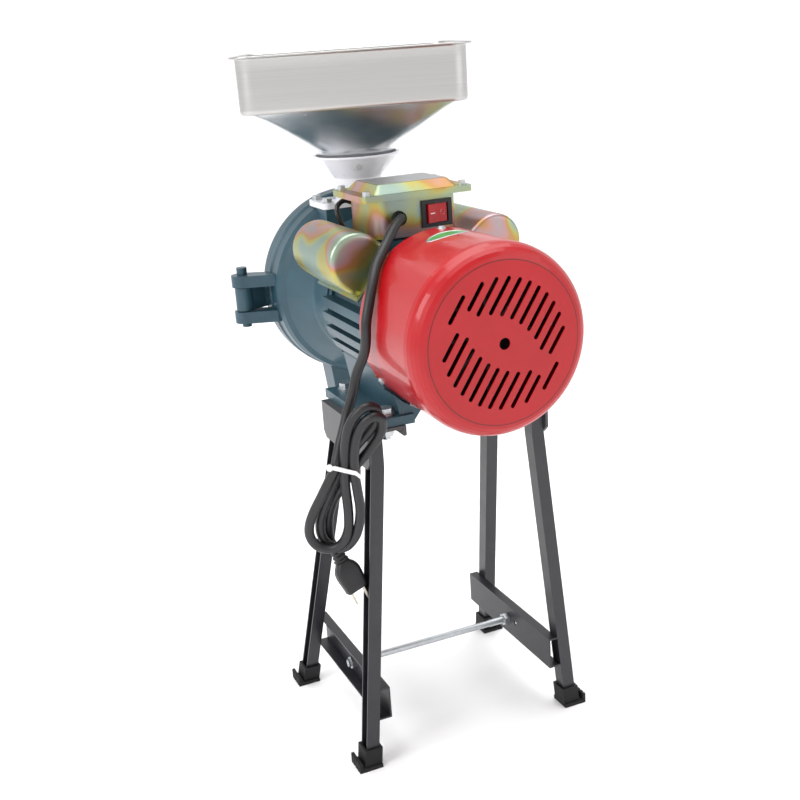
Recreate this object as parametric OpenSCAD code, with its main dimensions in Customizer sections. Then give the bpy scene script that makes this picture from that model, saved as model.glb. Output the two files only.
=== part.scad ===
// Electric grain mill on a four-legged stand: a foot-mounted motor drives an
// auger and a pair of grinding discs in a cast bowl that is fed from a hopper.
// Millimetres, +Z up, grinding head towards -Y, fan cover towards +Y.

/* [Stand] */
// Height of the motor axis above the floor
axis_h = 445; // [420:1:470]
// Distance of the leg centre lines from the middle at the floor
foot_x = 116; // [108:1:122]
// How far the front legs splay forward over their height
front_splay = 92; // [60:1:110]
// Width of the folded leg channel, along Y
leg_web = 15; // [12:0.5:18]
// Depth of the folded leg channel, along X
leg_flange = 13.5; // [11:0.5:16]
// Sheet thickness of the legs and cross members
leg_sheet = 1.6; // [1.2:0.1:2.4]
// Length of each stand rail
rail_len = 122; // [116:1:130]
// Width of the top flange of a rail
rail_w = 40; // [36:1:44]
// Height of the outer flange of a rail
rail_h = 38; // [30:1:44]
// Sheet thickness of a rail
rail_sheet = 3; // [2:0.5:4]
// Height of the cross member's centre above the floor
cross_z = 68; // [55:1:90]
// Height of a cross member
cross_h = 34; // [28:1:40]
// Radius of the thread on the tie rod
rod_thread_r = 4; // [3:0.5:5]
// Radius of the rolled shank of the tie rod
rod_shank_r = 3.5; // [2.5:0.1:3.8]
// Length of a shoe along X
shoe_l = 25; // [22:1:30]
// Width of a shoe along Y
shoe_w = 24; // [21:1:28]
// Height of the shoe's socket
shoe_h = 22; // [16:1:28]

/* [Motor] */
// Height of the motor axis above its foot plane
foot_drop = 90; // [86:1:96]
// Spacing of the foot bolts across the motor
foot_span = 140; // [134:1:146]
// Spacing of the foot bolts along the motor
foot_pitch = 100; // [90:1:104]
// Length of the foot plates
foot_len = 128; // [120:1:132]
// Thickness of the foot plates
foot_t = 9; // [7:0.5:12]
// Length of the finned frame
frame_len = 114; // [110:1:124]
// Radius of the frame barrel at the root of the fins
barrel_r = 68; // [66:0.5:70]
// Radius of the frame bore that holds the stator
frame_bore_r = 60; // [57:0.5:62]
// Radius of the circle that the fin tips follow
fin_tip_r = 80; // [77:0.5:82]
// Spacing of the cooling fins
fin_pitch = 15; // [13:0.5:16]
// Thickness of a cooling fin
fin_t = 9; // [6:0.5:10]
// Number of cooling fins on each side
fin_count = 5; // [4:1:5]
// Radius of the shaft in the motor
shaft_r = 12.5; // [11:0.5:14]
// Outer radius of both ball bearings
bearing_r = 26; // [24:0.5:28]
// Width of both ball bearings
bearing_w = 15; // [12:1:16]
// Radius of the rotor core
rotor_r = 36; // [32:0.5:38]
// Length of the laminated core
core_len = 72; // [60:1:78]
// Air gap between rotor and stator
air_gap = 0.5; // [0.4:0.1:1]

/* [Fan cover] */
// Length of the fan cover
cover_len = 122; // [116:1:128]
// Radius of the fan cover at its shoulder
cover_r = 86.5; // [84:0.1:88]
// Radius of the flat face inside the crease
face_r = 72.6; // [69:0.1:74]
// Sheet thickness of the fan cover
cover_sheet = 1.2; // [1:0.1:1.6]
// Depth of the shoulder curve
shoulder_d = 19; // [14:0.5:22]
// Width of a cooling slot
slot_w = 4; // [3:0.1:5]
// Spacing of the cooling slots
slot_pitch = 10.2; // [9.4:0.1:10.8]
// Length of a long cooling slot
slot_long = 37; // [32:0.5:39]
// Length of a short cooling slot
slot_short = 27.5; // [22:0.5:29]
// Radius that the slots' outer ends reach
slot_reach = 58; // [55:0.5:60]
// Lean of the slots from upright
slot_lean = 34; // [25:1:40]
// Radius of the cooling fan
fan_r = 70; // [62:0.5:74]
// Number of fan blades
blade_count = 8; // [6:1:9]

/* [Grinding head] */
// Length of the plain neck behind the bowl
neck_len = 44; // [42:1:48]
// Radius of the neck
neck_r = 73; // [71:0.5:74]
// Length of the bowl from neck to rim
bowl_len = 70; // [66:1:74]
// Radius of the bowl's rim
bowl_r = 101; // [98:0.5:104]
// Wall thickness of the castings
cast_wall = 6; // [5:0.5:8]
// Radius of the auger
auger_r = 23.6; // [20:0.1:25]
// Radius of the grinding discs
disc_r = 74; // [68:0.5:78]
// Radius of the feed eye in the discs
disc_eye_r = 31; // [27:0.5:34]
// Thickness of each grinding disc
disc_t = 11; // [9:0.5:12]
// Gap between the discs at rest
disc_gap = 1.5; // [1.4:0.1:2.5]
// Depth of the furrows in the discs
furrow_d = 1.5; // [1:0.1:2.5]
// Number of furrows in each disc
furrow_count = 18; // [12:1:24]
// Depth of the dished front door
door_depth = 35; // [34:1:40]
// Running gap between castings that part
part_gap = 0.3; // [0.2:0.05:0.6]
// Radius of the sliding stem of the disc carrier
stem_r = 16; // [14:0.5:18]
// Radius of the adjusting screw
screw_r = 7; // [6:0.5:8]
// Radial clearance of shafts, stems and pins in their bores
run_fit = 0.05; // [0.03:0.01:0.08]
// Distance of the door's hinge pin outside the bowl's rim
hinge_out = 26; // [22:0.5:30]
// Radius of the door's hinge pin
hinge_pin_r = 5; // [4:0.5:6]
// Radius of the rounded ends of the hinge ears
ear_r = 12; // [9:0.5:14]
// Height of the door's knuckle
knuckle_h = 25; // [20:1:30]
// Thickness of a hinge ear
ear_t = 12.5; // [10:0.5:15]
// Distance of the latch bolt outside the bowl's rim
latch_out = 21; // [18:0.5:23]
// Radius of the latch bolt's shank
latch_r = 5; // [4:0.5:5.5]
// Radius of the latch knob
knob_r = 16.5; // [14:0.5:16.5]
// Half width of the discharge chute at its mouth
chute_w = 42; // [36:1:46]
// Drop of the chute's mouth below the bowl
chute_out = 24; // [14:1:32]

/* [Feed] */
// Distance of the throat's axis behind the bowl's rim
throat_back = 39; // [38:0.5:41]
// Drop of the throat's seat below the rim of the bowl
pad_drop = 12; // [10:0.5:13]
// Inner radius of the throat and the feed duct
throat_bore_r = 17.5; // [15:0.5:18.5]
// Outer radius of the throat's neck
neck_out_r = 25.5; // [24:0.5:28]
// Radius of the throat's cup
cup_r = 46; // [42:0.5:50]
// Height of the throat's cup edge above its seat
cup_z = 52; // [50:0.5:55]
// Thickness of the throat's flange
flange_t = 6; // [5:0.5:8]
// Width of the hopper across its flats at the lip
hopper_w = 221; // [190:1:240]
// Height of the hopper's lip above the throat's seat
hopper_h = 158; // [146:1:171]
// Height of the hopper's straight wall
hopper_wall = 53; // [40:1:65]
// Radius of the hopper's vertical corners
hopper_corner = 16; // [14:1:30]
// Sheet thickness of the hopper
hopper_sheet = 1.2; // [0.8:0.1:2]
// Turn of the hopper in its seat
hopper_turn = -20; // [-30:1:0]

/* [Terminal box] */
// Width of the terminal box
box_w = 88; // [80:1:88]
// Depth of the terminal box along the motor
box_d = 72; // [64:1:74]
// Height of the terminal box
box_h = 41.5; // [39:0.5:44]
// Width of the lid
lid_w = 114; // [108:1:120]
// Depth of the lid along the motor
lid_d = 83; // [80:1:88]
// Height of the lid's skirt
lid_skirt = 6; // [4:0.5:8]
// Rise of the lid's raised panel
lid_rise = 8; // [6:0.5:12]
// Sheet thickness of the box, lid and capacitor covers
box_sheet = 1.2; // [1:0.1:1.6]
// Width of the switch bezel
bezel_w = 31.5; // [29:0.1:33]
// Height of the switch bezel
bezel_h = 25.8; // [24:0.1:28]
// Distance of the power cord's hole from the middle of the box
cord_hole_x = 20; // [18:0.5:23]
// Height of the power cord's hole above the box base
cord_hole_z = 18.5; // [16:0.5:22]

/* [Capacitors] */
// Angle of the capacitors above horizontal
cap_angle = 39; // [37:0.5:40]
// Radius of a capacitor
cap_r = 20; // [17:0.5:21]
// Length of a capacitor
cap_len = 92; // [80:1:96]
// Radius of a capacitor cover's rounded back
cap_cover_r = 27.5; // [25:0.1:27.5]
// Length of a capacitor cover
cap_cover_len = 110; // [100:1:114]

/* [Power cord] */
// Diameter of the power cord
cord_d = 9.4; // [8:0.1:10]

/* [Hidden] */
$fn = 64;
e = 0.01;

// Stations along the machine axis, counted forward from the fan cover's face.
a_frame = cover_len + 4;
a_neck = a_frame + frame_len;
a_bowl = a_neck + neck_len - 4;
a_web = a_neck + neck_len - 2;
a_rim = a_neck + neck_len + bowl_len;
a_door = a_rim + part_gap;
boss_len = 15;
a_boss = a_rim + door_depth + boss_len;
lock_nut_t = 8;
handle_reach = 32;
a_front = a_boss + part_gap + lock_nut_t + handle_reach;
a_throat = a_rim - throat_back;
lip_w = 5.5;
hopper_reach = (hopper_w / 2 - hopper_corner) * (cos(hopper_turn) + abs(sin(hopper_turn)))
  + hopper_corner + lip_w;
y_back = max(a_front, a_throat + hopper_reach) / 2;
a_feet = 162;

// Stand.
stand_h = axis_h - foot_drop;
foot_hole_r = 5;
rail_outer = foot_span / 2 + 26;
rail_y = y_back - a_feet + 5;
leg_top_x = rail_outer - rail_sheet - leg_flange / 2;
leg_rear_y = rail_y + rail_len / 2 - leg_web / 2 - 4;
leg_front_y = rail_y - rail_len / 2 + leg_web / 2 + 8;
leg_front_foot_y = leg_front_y - front_splay;
shoe_floor = 4;
shoe_wall = 2.5;
shoe_fit = 0.3;
leg_bend_z = stand_h - rail_h;
leg_drop = leg_bend_z - shoe_floor;
leg_out = foot_x - leg_top_x;
leg_lean = atan(leg_out / leg_drop);
cross_web = 10;
tie_y = (leg_rear_y + leg_front_y - front_splay * (leg_bend_z - cross_z) / leg_drop) / 2;
nut_t = 6;

// Motor.
seat = 0.02;
fin_top = 12;
core_a = a_frame + frame_len / 2 - core_len / 2;
ring_r = neck_r - 1.5;
pad_half = 36;
box_base = barrel_r + 2;
stator_slots = 24;
stator_in = rotor_r + air_gap;
nose_r = shaft_r - 0.5;
tail_r = shaft_r - 3.5;
shaft_end = a_rim - 2;
fan_a = 34;
fan_hub = 30;
rear_brg_a = a_frame - 7 - bearing_w;
front_brg_a = a_neck + 4;
mouth_r = cover_r - 1.5;
shield_r = mouth_r - cover_sheet - 0.2;
shield_lap = 16;
slots_half = 11;

// Terminal box and capacitors.
box_a = 201;
gasket_t = 2.5;
box_z = box_base + gasket_t;
box_r = 14;
lid_z = box_z + box_h;
switch_x = 19.5;
switch_z = 19.5;
rocker_w = bezel_w - 9;
rocker_h = bezel_h - 8;
rocker_tilt = 10;
cap_a = 145;
cap_base = neck_r + part_gap;
cap_centre = cap_base + cap_cover_r - box_sheet - 6;
cap_lip = 3.5;
lead_r = 2.6;

// Grinding head.
hinge_x = bowl_r + hinge_out;
latch_x = bowl_r + latch_out;
lug_reach = hinge_x + ear_r;
chute_drop = bowl_r + chute_out;
pad_z = bowl_r - pad_drop;
auger_bore_r = auger_r + 0.4;
duct_r = throat_bore_r + cast_wall;
a_duct_front = a_throat + duct_r + 1.5;
a_hinge = a_rim;
hinge_z = -4;
ear_gap = 0.9;
a_latch = a_rim - 17;
web_t = 12;
lug_in = 5;
lug_t = 7;
latch_pin_r = 4;
door_ear_t = 13;
pad_w = 95;
pad_d = 49;
throat_bolt_x = 42;
throat_bolt_y = 17;
chute_l = 30;
chute_a = a_rim - 4 - chute_l;
head_t = 6;
a_head = a_duct_front + 4;
a_disc = a_head + head_t;
a_static = a_disc + disc_t + disc_gap;
a_carrier = a_static + disc_t;
carrier_t = 5;
auger_a = a_web + 7;
auger_len = a_head - auger_a;
boss_r = stem_r + 7;
boss_cap = 7;
knuckle_r = 9.5;
stem_end = a_boss - boss_cap - 5.5;
screw_tip = stem_end - 6;
bar_r = 4;
bolt_len = 62;
washer_drop = 37;
washer_t = 2;

// Feed.
neck_top = 28;
cup_in_r = cup_r - 3;
cup_band = 4;
spigot_r = cup_in_r - 3;
fold_z = hopper_h - hopper_wall;
seat_z = cup_z - cup_band - 2;

// Places in the machine's own frame: x across, y up from the axis, z forward.
module at(a) translate([0, y_back, axis_h]) rotate([90, 0, 0]) translate([0, 0, a]) children();
module turned(points) rotate_extrude() polygon(points);
module tube(outer, inner, h) difference() {
  cylinder(r = outer, h = h);
  translate([0, 0, -1]) cylinder(r = inner, h = h + 2);
}
module both_sides() for (side = [-1, 1]) mirror([side < 0 ? 1 : 0, 0, 0]) children();
module round_rect(w, d, r) {
  square([w - 2 * r, d], center = true);
  square([w, d - 2 * r], center = true);
  for (x = [-1, 1], y = [-1, 1]) translate([x * (w / 2 - r), y * (d / 2 - r)]) circle(r = r);
}
module hex_head(r, h) cylinder(r = r, h = h, $fn = 6);

// ---- Stand ---------------------------------------------------------------

// Folded sheet rail under one motor foot, drawn for the +X side.
module rail() {
  lip = 10;
  difference() {
    union() {
      translate([rail_outer - rail_w, rail_y - rail_len / 2, stand_h - rail_sheet])
        cube([rail_w, rail_len, rail_sheet]);
      translate([rail_outer - rail_sheet, rail_y - rail_len / 2, stand_h - rail_h])
        cube([rail_sheet, rail_len, rail_h]);
      translate([rail_outer - rail_w, rail_y - rail_len / 2, stand_h - lip])
        cube([rail_sheet, rail_len, lip]);
    }
    for (end = [-1, 1]) translate([rail_outer, rail_y + end * rail_len / 2, stand_h - rail_h])
      rotate([45, 0, 0]) cube([20, 9, 9], center = true);
    for (end = [-1, 1]) translate([foot_span / 2, y_back - a_feet + end * foot_pitch / 2, stand_h])
      cylinder(r = foot_hole_r, h = 20, center = true);
  }
}

// Channel section with its web on the inner side, open outwards.
module channel(web, flange, sheet) difference() {
  translate([-flange / 2, -web / 2]) square([flange, web]);
  translate([-flange / 2 + sheet, -web / 2 + sheet]) square([flange, web - 2 * sheet]);
}

// Splayed lower part of a leg, as a solid of its outline grown by a margin.
module splay(top_y, foot_y, grow, high) intersection() {
  translate([leg_top_x, top_y, leg_bend_z])
    rotate([-atan((top_y - foot_y) / leg_drop), -leg_lean, 0])
      translate([0, 0, -leg_drop * 1.2]) linear_extrude(leg_drop * 1.2 + 12) children();
  translate([foot_x, foot_y, shoe_floor - grow + high / 2]) cube([400, 600, high], center = true);
}

// One front leg: upright inside the rail, then splayed outwards and forwards to its foot.
module front_leg() {
  translate([leg_top_x, leg_front_y, leg_bend_z])
    linear_extrude(rail_h - rail_sheet) channel(leg_web, leg_flange, leg_sheet);
  splay(leg_front_y, leg_front_foot_y, 0, leg_drop) channel(leg_web, leg_flange, leg_sheet);
}

// One rear leg: the same channel, bent once in its own plane and run past its ends by a margin.
module rear_strip(near, far, wide, past) {
  high = stand_h - rail_sheet + past;
  out = leg_out * (1 + past / leg_drop);
  low = shoe_floor - past;
  translate([leg_top_x, leg_rear_y + wide / 2, 0]) rotate([90, 0, 0]) linear_extrude(wide)
    polygon([[near, high], [near, leg_bend_z], [near + out, low], [far + out, low], [far, leg_bend_z],
      [far, high]]);
}
module rear_leg() difference() {
  rear_strip(-leg_flange / 2, leg_flange / 2, leg_web, 0);
  rear_strip(leg_sheet - leg_flange / 2, leg_flange, leg_web - 2 * leg_sheet, 1);
}

// Moulded shoe: a leaning socket round the leg's end and an outward tread.
module shoe(top_y, foot_y) {
  inner_x = foot_x - leg_flange / 2 - shoe_wall;
  difference() {
    union() {
      translate([inner_x, foot_y - shoe_w / 2, 0]) cube([shoe_l, shoe_w, shoe_floor]);
      translate([inner_x + shoe_l - 3, foot_y - shoe_w / 2, 0]) cube([3, shoe_w, shoe_h / 2]);
      splay(top_y, foot_y, shoe_wall, shoe_h - shoe_floor + shoe_wall)
        square([leg_flange + 2 * shoe_wall, leg_web + 2 * shoe_wall], center = true);
    }
    translate([0, 0, shoe_fit]) splay(top_y, foot_y, shoe_fit, shoe_h + 20)
      square([leg_flange + 2 * shoe_fit, leg_web + 2 * shoe_fit], center = true);
    for (i = [0:3]) translate([inner_x + shoe_l, foot_y + (i - 1.5) * shoe_w / 4, -1])
      cylinder(r = 1, h = shoe_h, $fn = 16);
  }
}

// Inner face of a side's legs at one height, and the cross member against it.
function leg_face(z) = leg_top_x + leg_out * (leg_bend_z - z) / leg_drop - leg_flange / 2 / cos(leg_lean) - 0.1;
function leg_front_at(z) = leg_front_y - front_splay * (leg_bend_z - z) / leg_drop;
cross_x = leg_face(cross_z + cross_h / 2) - cross_web;
rod_half = cross_x + leg_sheet + nut_t + 3;
module cross_member() {
  low = cross_z - cross_h / 2;
  high = cross_z + cross_h / 2;
  front_y = leg_front_at(cross_z) - leg_web / 2;
  rear_y = leg_rear_y + leg_web / 2;
  difference() {
    translate([0, rear_y, 0]) rotate([90, 0, 0]) linear_extrude(rear_y - front_y) difference() {
      polygon([[cross_x, low], [leg_face(low), low], [leg_face(high), high], [cross_x, high]]);
      translate([cross_x + leg_sheet, low + leg_sheet]) square([40, cross_h - 2 * leg_sheet]);
    }
    translate([cross_x - 5, tie_y, cross_z]) rotate([0, 90, 0]) cylinder(r = rod_thread_r + 0.3, h = 10);
    translate([cross_x - 5, tie_y + 18, cross_z + 2]) rotate([0, 90, 0]) cylinder(r = 2.5, h = 10);
  }
}

module stand_rail_left() color("#4a4a4e") rail();
module stand_rail_right() color("#4a4a4e") mirror([1, 0, 0]) rail();
module leg_rear_left() color("#2a2b30") rear_leg();
module leg_rear_right() color("#2a2b30") mirror([1, 0, 0]) rear_leg();
module leg_front_left() color("#2a2b30") front_leg();
module leg_front_right() color("#2a2b30") mirror([1, 0, 0]) front_leg();
module leg_shoes() color("#1b1b1e") both_sides() {
  shoe(leg_rear_y, leg_rear_y);
  shoe(leg_front_y, leg_front_foot_y);
}
module cross_member_left() color("#2a2b30") cross_member();
module cross_member_right() color("#2a2b30") mirror([1, 0, 0]) cross_member();
module tie_rod() color("#c9ccd0") translate([0, tie_y, cross_z]) rotate([0, 90, 0]) {
  end_len = 34;
  translate([0, 0, -rod_half]) cylinder(r = rod_thread_r, h = end_len, $fn = 32);
  translate([0, 0, rod_half - end_len]) cylinder(r = rod_thread_r, h = end_len, $fn = 32);
  cylinder(r = rod_shank_r, h = 2 * rod_half - 2, center = true, $fn = 32);
}
module tie_rod_nuts() color("#c9ccd0") both_sides() for (x = [cross_x - nut_t, cross_x + leg_sheet])
  translate([x, tie_y, cross_z]) rotate([0, 90, 0]) difference() {
    hex_head(7, nut_t);
    translate([0, 0, -1]) cylinder(r = rod_thread_r + 0.02, h = nut_t + 2);
  }
module foot_bolts() color("#c9ccd0") both_sides() for (end = [-1, 1])
  translate([foot_span / 2, y_back - a_feet + end * foot_pitch / 2, stand_h]) {
    translate([0, 0, -rail_sheet - 12]) cylinder(r = 4, h = foot_t + rail_sheet + 14, $fn = 32);
    translate([0, 0, foot_t]) cylinder(r = 9, h = 1.6, $fn = 48);
    translate([0, 0, foot_t + 1.6]) hex_head(7.5, 5.3);
    translate([0, 0, -rail_sheet - 1.6]) cylinder(r = 9, h = 1.6, $fn = 48);
    translate([0, 0, -rail_sheet - 8.2]) hex_head(7.5, 6.6);
  }

// ---- Motor ---------------------------------------------------------------

module motor_frame() color("#3f5f6b") at(a_frame) difference() {
  union() {
    cylinder(r = barrel_r, h = frame_len, $fn = 96);
    // horizontal cooling fins, trimmed to one round outline
    intersection() {
      tube(fin_tip_r, barrel_r - 1, frame_len - 4);
      for (i = [0:fin_count - 1]) translate([-100, fin_top - i * fin_pitch - fin_t, 3])
        cube([200, fin_t, frame_len]);
    }
    for (a = [0, frame_len - 8]) translate([0, 0, a]) cylinder(r = ring_r, h = 8, $fn = 96);
    // seat of the terminal box
    translate([-pad_half, 0, box_a - a_frame - box_d / 2]) cube([2 * pad_half, box_base, box_d]);
    both_sides() {
      rotate([0, 0, cap_angle]) translate([0, -17, cap_a - a_frame + 10])
        cube([cap_base - part_gap, 34, cap_cover_len - 34]);
      // foot plate with its sloping web
      translate([foot_span / 2 - 24, -foot_drop, a_feet - foot_len / 2 - a_frame])
        cube([42, foot_t, foot_len]);
      translate([0, 0, a_feet - foot_len / 2 - a_frame + 3]) linear_extrude(foot_len - 6)
        polygon([[20, -60], [fin_tip_r - 16, -34], [fin_tip_r - 14, -46], [foot_span / 2 - 12, -foot_drop + e],
          [foot_span / 2 - 24, -foot_drop + e], [30, -70]]);
    }
  }
  translate([0, 0, -1 - 60]) cylinder(r = frame_bore_r, h = frame_len + 120, $fn = 96);
  both_sides() for (end = [-1, 1])
    translate([foot_span / 2, -foot_drop - 1, a_feet + end * foot_pitch / 2 - a_frame])
      rotate([-90, 0, 0]) cylinder(r = foot_hole_r, h = foot_t + 12);
  // flat seat of the terminal box across the front ring
  translate([-box_w / 2 - 1, box_base, box_a - a_frame - box_d / 2 - 2]) cube([box_w + 2, 20, box_d + 20]);
  // room for the fan cover where the feet run back past the barrel
  translate([0, 0, -60]) cylinder(r = cover_r + 1.5, h = 60);
}

// Laminated ring with the slots that the windings lie in.
module stator_core() color("#8d9298") at(core_a) difference() {
  tube(frame_bore_r - seat, stator_in, core_len);
  for (i = [0:stator_slots - 1]) rotate([0, 0, i * 360 / stator_slots])
    translate([stator_in - 2, -1.6, -1]) cube([11, 3.2, core_len + 2]);
}
module coil_end() rotate_extrude() translate([stator_in + 9, 0]) {
  translate([0, 8]) circle(r = 6, $fn = 32);
  translate([-6, 0]) square([12, 8]);
}
module stator_windings() color("#b06a34") {
  at(core_a + core_len) coil_end();
  at(core_a) mirror([0, 0, 1]) coil_end();
}
module rotor_core() color("#9aa0a6") at(core_a) difference() {
  union() {
    cylinder(r = rotor_r, h = core_len);
    for (a = [-5, core_len]) translate([0, 0, a]) cylinder(r = rotor_r - 5, h = 5);
  }
  translate([0, 0, -10]) cylinder(r = shaft_r + run_fit, h = core_len + 20);
}
module rotor_shaft() color("#b9bec4") at(0) {
  translate([0, 0, fan_a - 4]) cylinder(r = tail_r, h = fan_hub + 9);
  translate([0, 0, fan_a + fan_hub + 4])
    cylinder(r = shaft_r, h = front_brg_a + bearing_w - fan_a - fan_hub);
  translate([0, 0, front_brg_a]) cylinder(r = nose_r, h = shaft_end - front_brg_a);
}
// Sealed ball bearing: outer ring, inner ring and the shield between them.
module bearing() difference() {
  cylinder(r = bearing_r, h = bearing_w);
  translate([0, 0, -1]) cylinder(r = shaft_r + run_fit, h = bearing_w + 2);
  for (z = [-1, bearing_w - 1]) translate([0, 0, z]) tube(bearing_r - 4, shaft_r + 4, 2);
}
module ball_bearings() color("#cfd3d6") for (a = [front_brg_a, rear_brg_a]) at(a) bearing();
module centrifugal_switch() color("#5a3c28") at(a_frame - 6) {
  tube(44, 30, 2.5);
  both_sides() translate([37, 0, 4]) cube([9, 16, 5], center = true);
}

// Cast end shield that carries the rear bearing and the fan cover.
module rear_end_shield() color("#3f5f6b") at(a_frame) difference() {
  union() {
    mirror([0, 0, 1]) cylinder(r = shield_r, h = shield_lap, $fn = 96);
    mirror([0, 0, 1]) translate([0, 0, shield_lap]) cylinder(r1 = shield_r - 6, r2 = 36, h = 14, $fn = 96);
  }
  mirror([0, 0, 1]) translate([0, 0, -1]) cylinder(r = frame_bore_r - 6, h = 7, $fn = 96);
  mirror([0, 0, 1]) translate([0, 0, 5]) cylinder(r = bearing_r + seat, h = bearing_w + 2);
  mirror([0, 0, 1]) cylinder(r = shaft_r + 4, h = 60);
  for (i = [0:7]) rotate([0, 0, i * 45 + 22.5]) translate([bearing_r + 20, 0, 0]) mirror([0, 0, 1])
    cylinder(r = 6, h = 40, $fn = 32);
}

module cooling_fan() color("#1d1e20") at(fan_a) {
  difference() {
    union() {
      cylinder(r = 17, h = fan_hub);
      translate([0, 0, fan_hub - 3]) cylinder(r = fan_r, h = 3, $fn = 96);
      for (i = [0:blade_count - 1]) rotate([0, 0, i * 360 / blade_count])
        translate([15, -1.25, 0]) cube([fan_r - 15, 2.5, fan_hub - 2]);
    }
    translate([0, 0, -1]) cylinder(r = tail_r + run_fit, h = fan_hub + 2);
  }
}

// Pressed cover: flat slotted face, rounded shoulder and a long drawn skirt.
function shoulder(in, steps) = [for (i = [0:steps]) let (q = 90 * i / steps)
  [face_r + (cover_r - face_r) * sin(q) - in * (0.3 + 0.7 * i / steps), in + (shoulder_d - in) * (1 - cos(q))]];
function reversed(list) = [for (i = [len(list) - 1:-1:0]) list[i]];

// One cooling slot, drawn from its outer end inwards.
module slot(offset, length) {
  reach = sqrt(pow(slot_reach, 2) - pow(offset, 2) * 0.93);
  translate([offset, reach - length + slot_w / 2, 0]) union() {
    cylinder(r = slot_w / 2, h = 8, center = true, $fn = 24);
    translate([-slot_w / 2, 0, -4]) cube([slot_w, length - slot_w, 8]);
    translate([0, length - slot_w, 0]) cylinder(r = slot_w / 2, h = 8, center = true, $fn = 24);
  }
}
module fan_cover() color("#c8363f") at(0) difference() {
  turned(concat([[0, 0]], shoulder(0, 6), [[mouth_r, cover_len], [mouth_r - cover_sheet, cover_len]],
    reversed(shoulder(cover_sheet, 6)), [[0, cover_sheet]]));
  for (half = [0, 180]) rotate([0, 0, half]) rotate([0, 0, slot_lean])
    for (i = [0:slots_half - 1])
      slot((i - (slots_half - 1) / 2) * slot_pitch + slot_pitch * 0.56,
        (i == 0 || i >= slots_half - 2) ? slot_short : slot_long);
  cylinder(r = 5.3, h = 10, center = true);
}
module cover_screws() color("#c9ccd0") for (angle = [-35, 90, 215])
  at(cover_len - 8) rotate([0, 0, angle]) translate([mouth_r + 0.15, 0, 0]) rotate([0, 90, 0])
    cylinder(r1 = 4.2, r2 = 2.6, h = 2.4, $fn = 32);
module earth_screw() color("#b9974a") at(a_frame - 2) rotate([0, 0, -33])
  translate([shield_r + 0.2, 0, 0]) rotate([0, 90, 0]) cylinder(r = 1.8, h = 2, $fn = 32);

// ---- Terminal box and capacitors ------------------------------------------
grommet_r = 6.1;
module box_frame(z) translate([0, y_back - box_a, axis_h + z]) children();

module box_gasket() color("#1b1b1e") box_frame(box_base) difference() {
  linear_extrude(gasket_t) round_rect(box_w - 2, box_d - 2, box_r - 1);
  translate([0, 0, -1]) linear_extrude(gasket_t + 2) round_rect(box_w - 22, box_d - 22, 6);
}
module terminal_box() color("#a89a58") box_frame(box_z) difference() {
  linear_extrude(box_h) round_rect(box_w, box_d, box_r);
  translate([0, 0, box_sheet]) linear_extrude(box_h)
    round_rect(box_w - 2 * box_sheet, box_d - 2 * box_sheet, box_r - box_sheet);
  // switch opening and cable hole in the rear wall
  translate([-switch_x, box_d / 2, switch_z]) cube([bezel_w - 3, 20, bezel_h - 3], center = true);
  translate([cord_hole_x, box_d / 2, cord_hole_z]) rotate([90, 0, 0])
    cylinder(r = grommet_r + 0.1, h = 20, center = true);
  translate([lead_start.x, -box_d / 2, lead_start.z]) rotate([90, 0, 0])
    cylinder(r = lead_r + 0.3, h = 20, center = true);
}
module lid_slab(w, d, r, z) translate([0, 0, z]) linear_extrude(0.1) round_rect(w, d, r, $fn = 32);
module box_lid() color("#a89a58") box_frame(lid_z) {
  panel_w = box_w + 1;
  panel_d = box_d + 1;
  in_w = panel_w - 3 * box_sheet;
  in_d = panel_d - 3 * box_sheet;
  difference() {
    union() {
      translate([0, 0, box_sheet - lid_skirt]) linear_extrude(lid_skirt) round_rect(lid_w, lid_d, 4);
      hull() {
        lid_slab(panel_w, panel_d, 6, box_sheet - 0.1);
        lid_slab(panel_w - 2 * lid_rise, panel_d - 2 * lid_rise, 3, box_sheet + lid_rise - 0.1);
      }
    }
    translate([0, 0, -lid_skirt]) linear_extrude(lid_skirt)
      round_rect(lid_w - 2 * box_sheet, lid_d - 2 * box_sheet, 3);
    hull() {
      lid_slab(in_w, in_d, 5, -0.1);
      lid_slab(in_w - 2 * lid_rise, in_d - 2 * lid_rise, 2, lid_rise - 0.1);
    }
  }
}
module lid_screws() color("#d5d8dc") for (x = [-1, 1], y = [-1, 1])
  box_frame(lid_z + box_sheet) translate([x * (lid_w / 2 - 7), y * (lid_d / 2 - 9), 0]) {
    cylinder(r = 4.4, h = 1, $fn = 32);
    translate([0, 0, 1]) hex_head(4, 3);
  }
module switch_bezel() color("#18181a") box_frame(box_z)
  translate([-switch_x, box_d / 2, switch_z]) difference() {
  union() {
    translate([0, 1.25, 0]) cube([bezel_w, 2.5, bezel_h], center = true);
    translate([0, -9, 0]) cube([bezel_w - 3.6, 18 + e, bezel_h - 3.6], center = true);
  }
  cube([rocker_w + 0.8, 14, rocker_h + 0.8], center = true);
}
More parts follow.
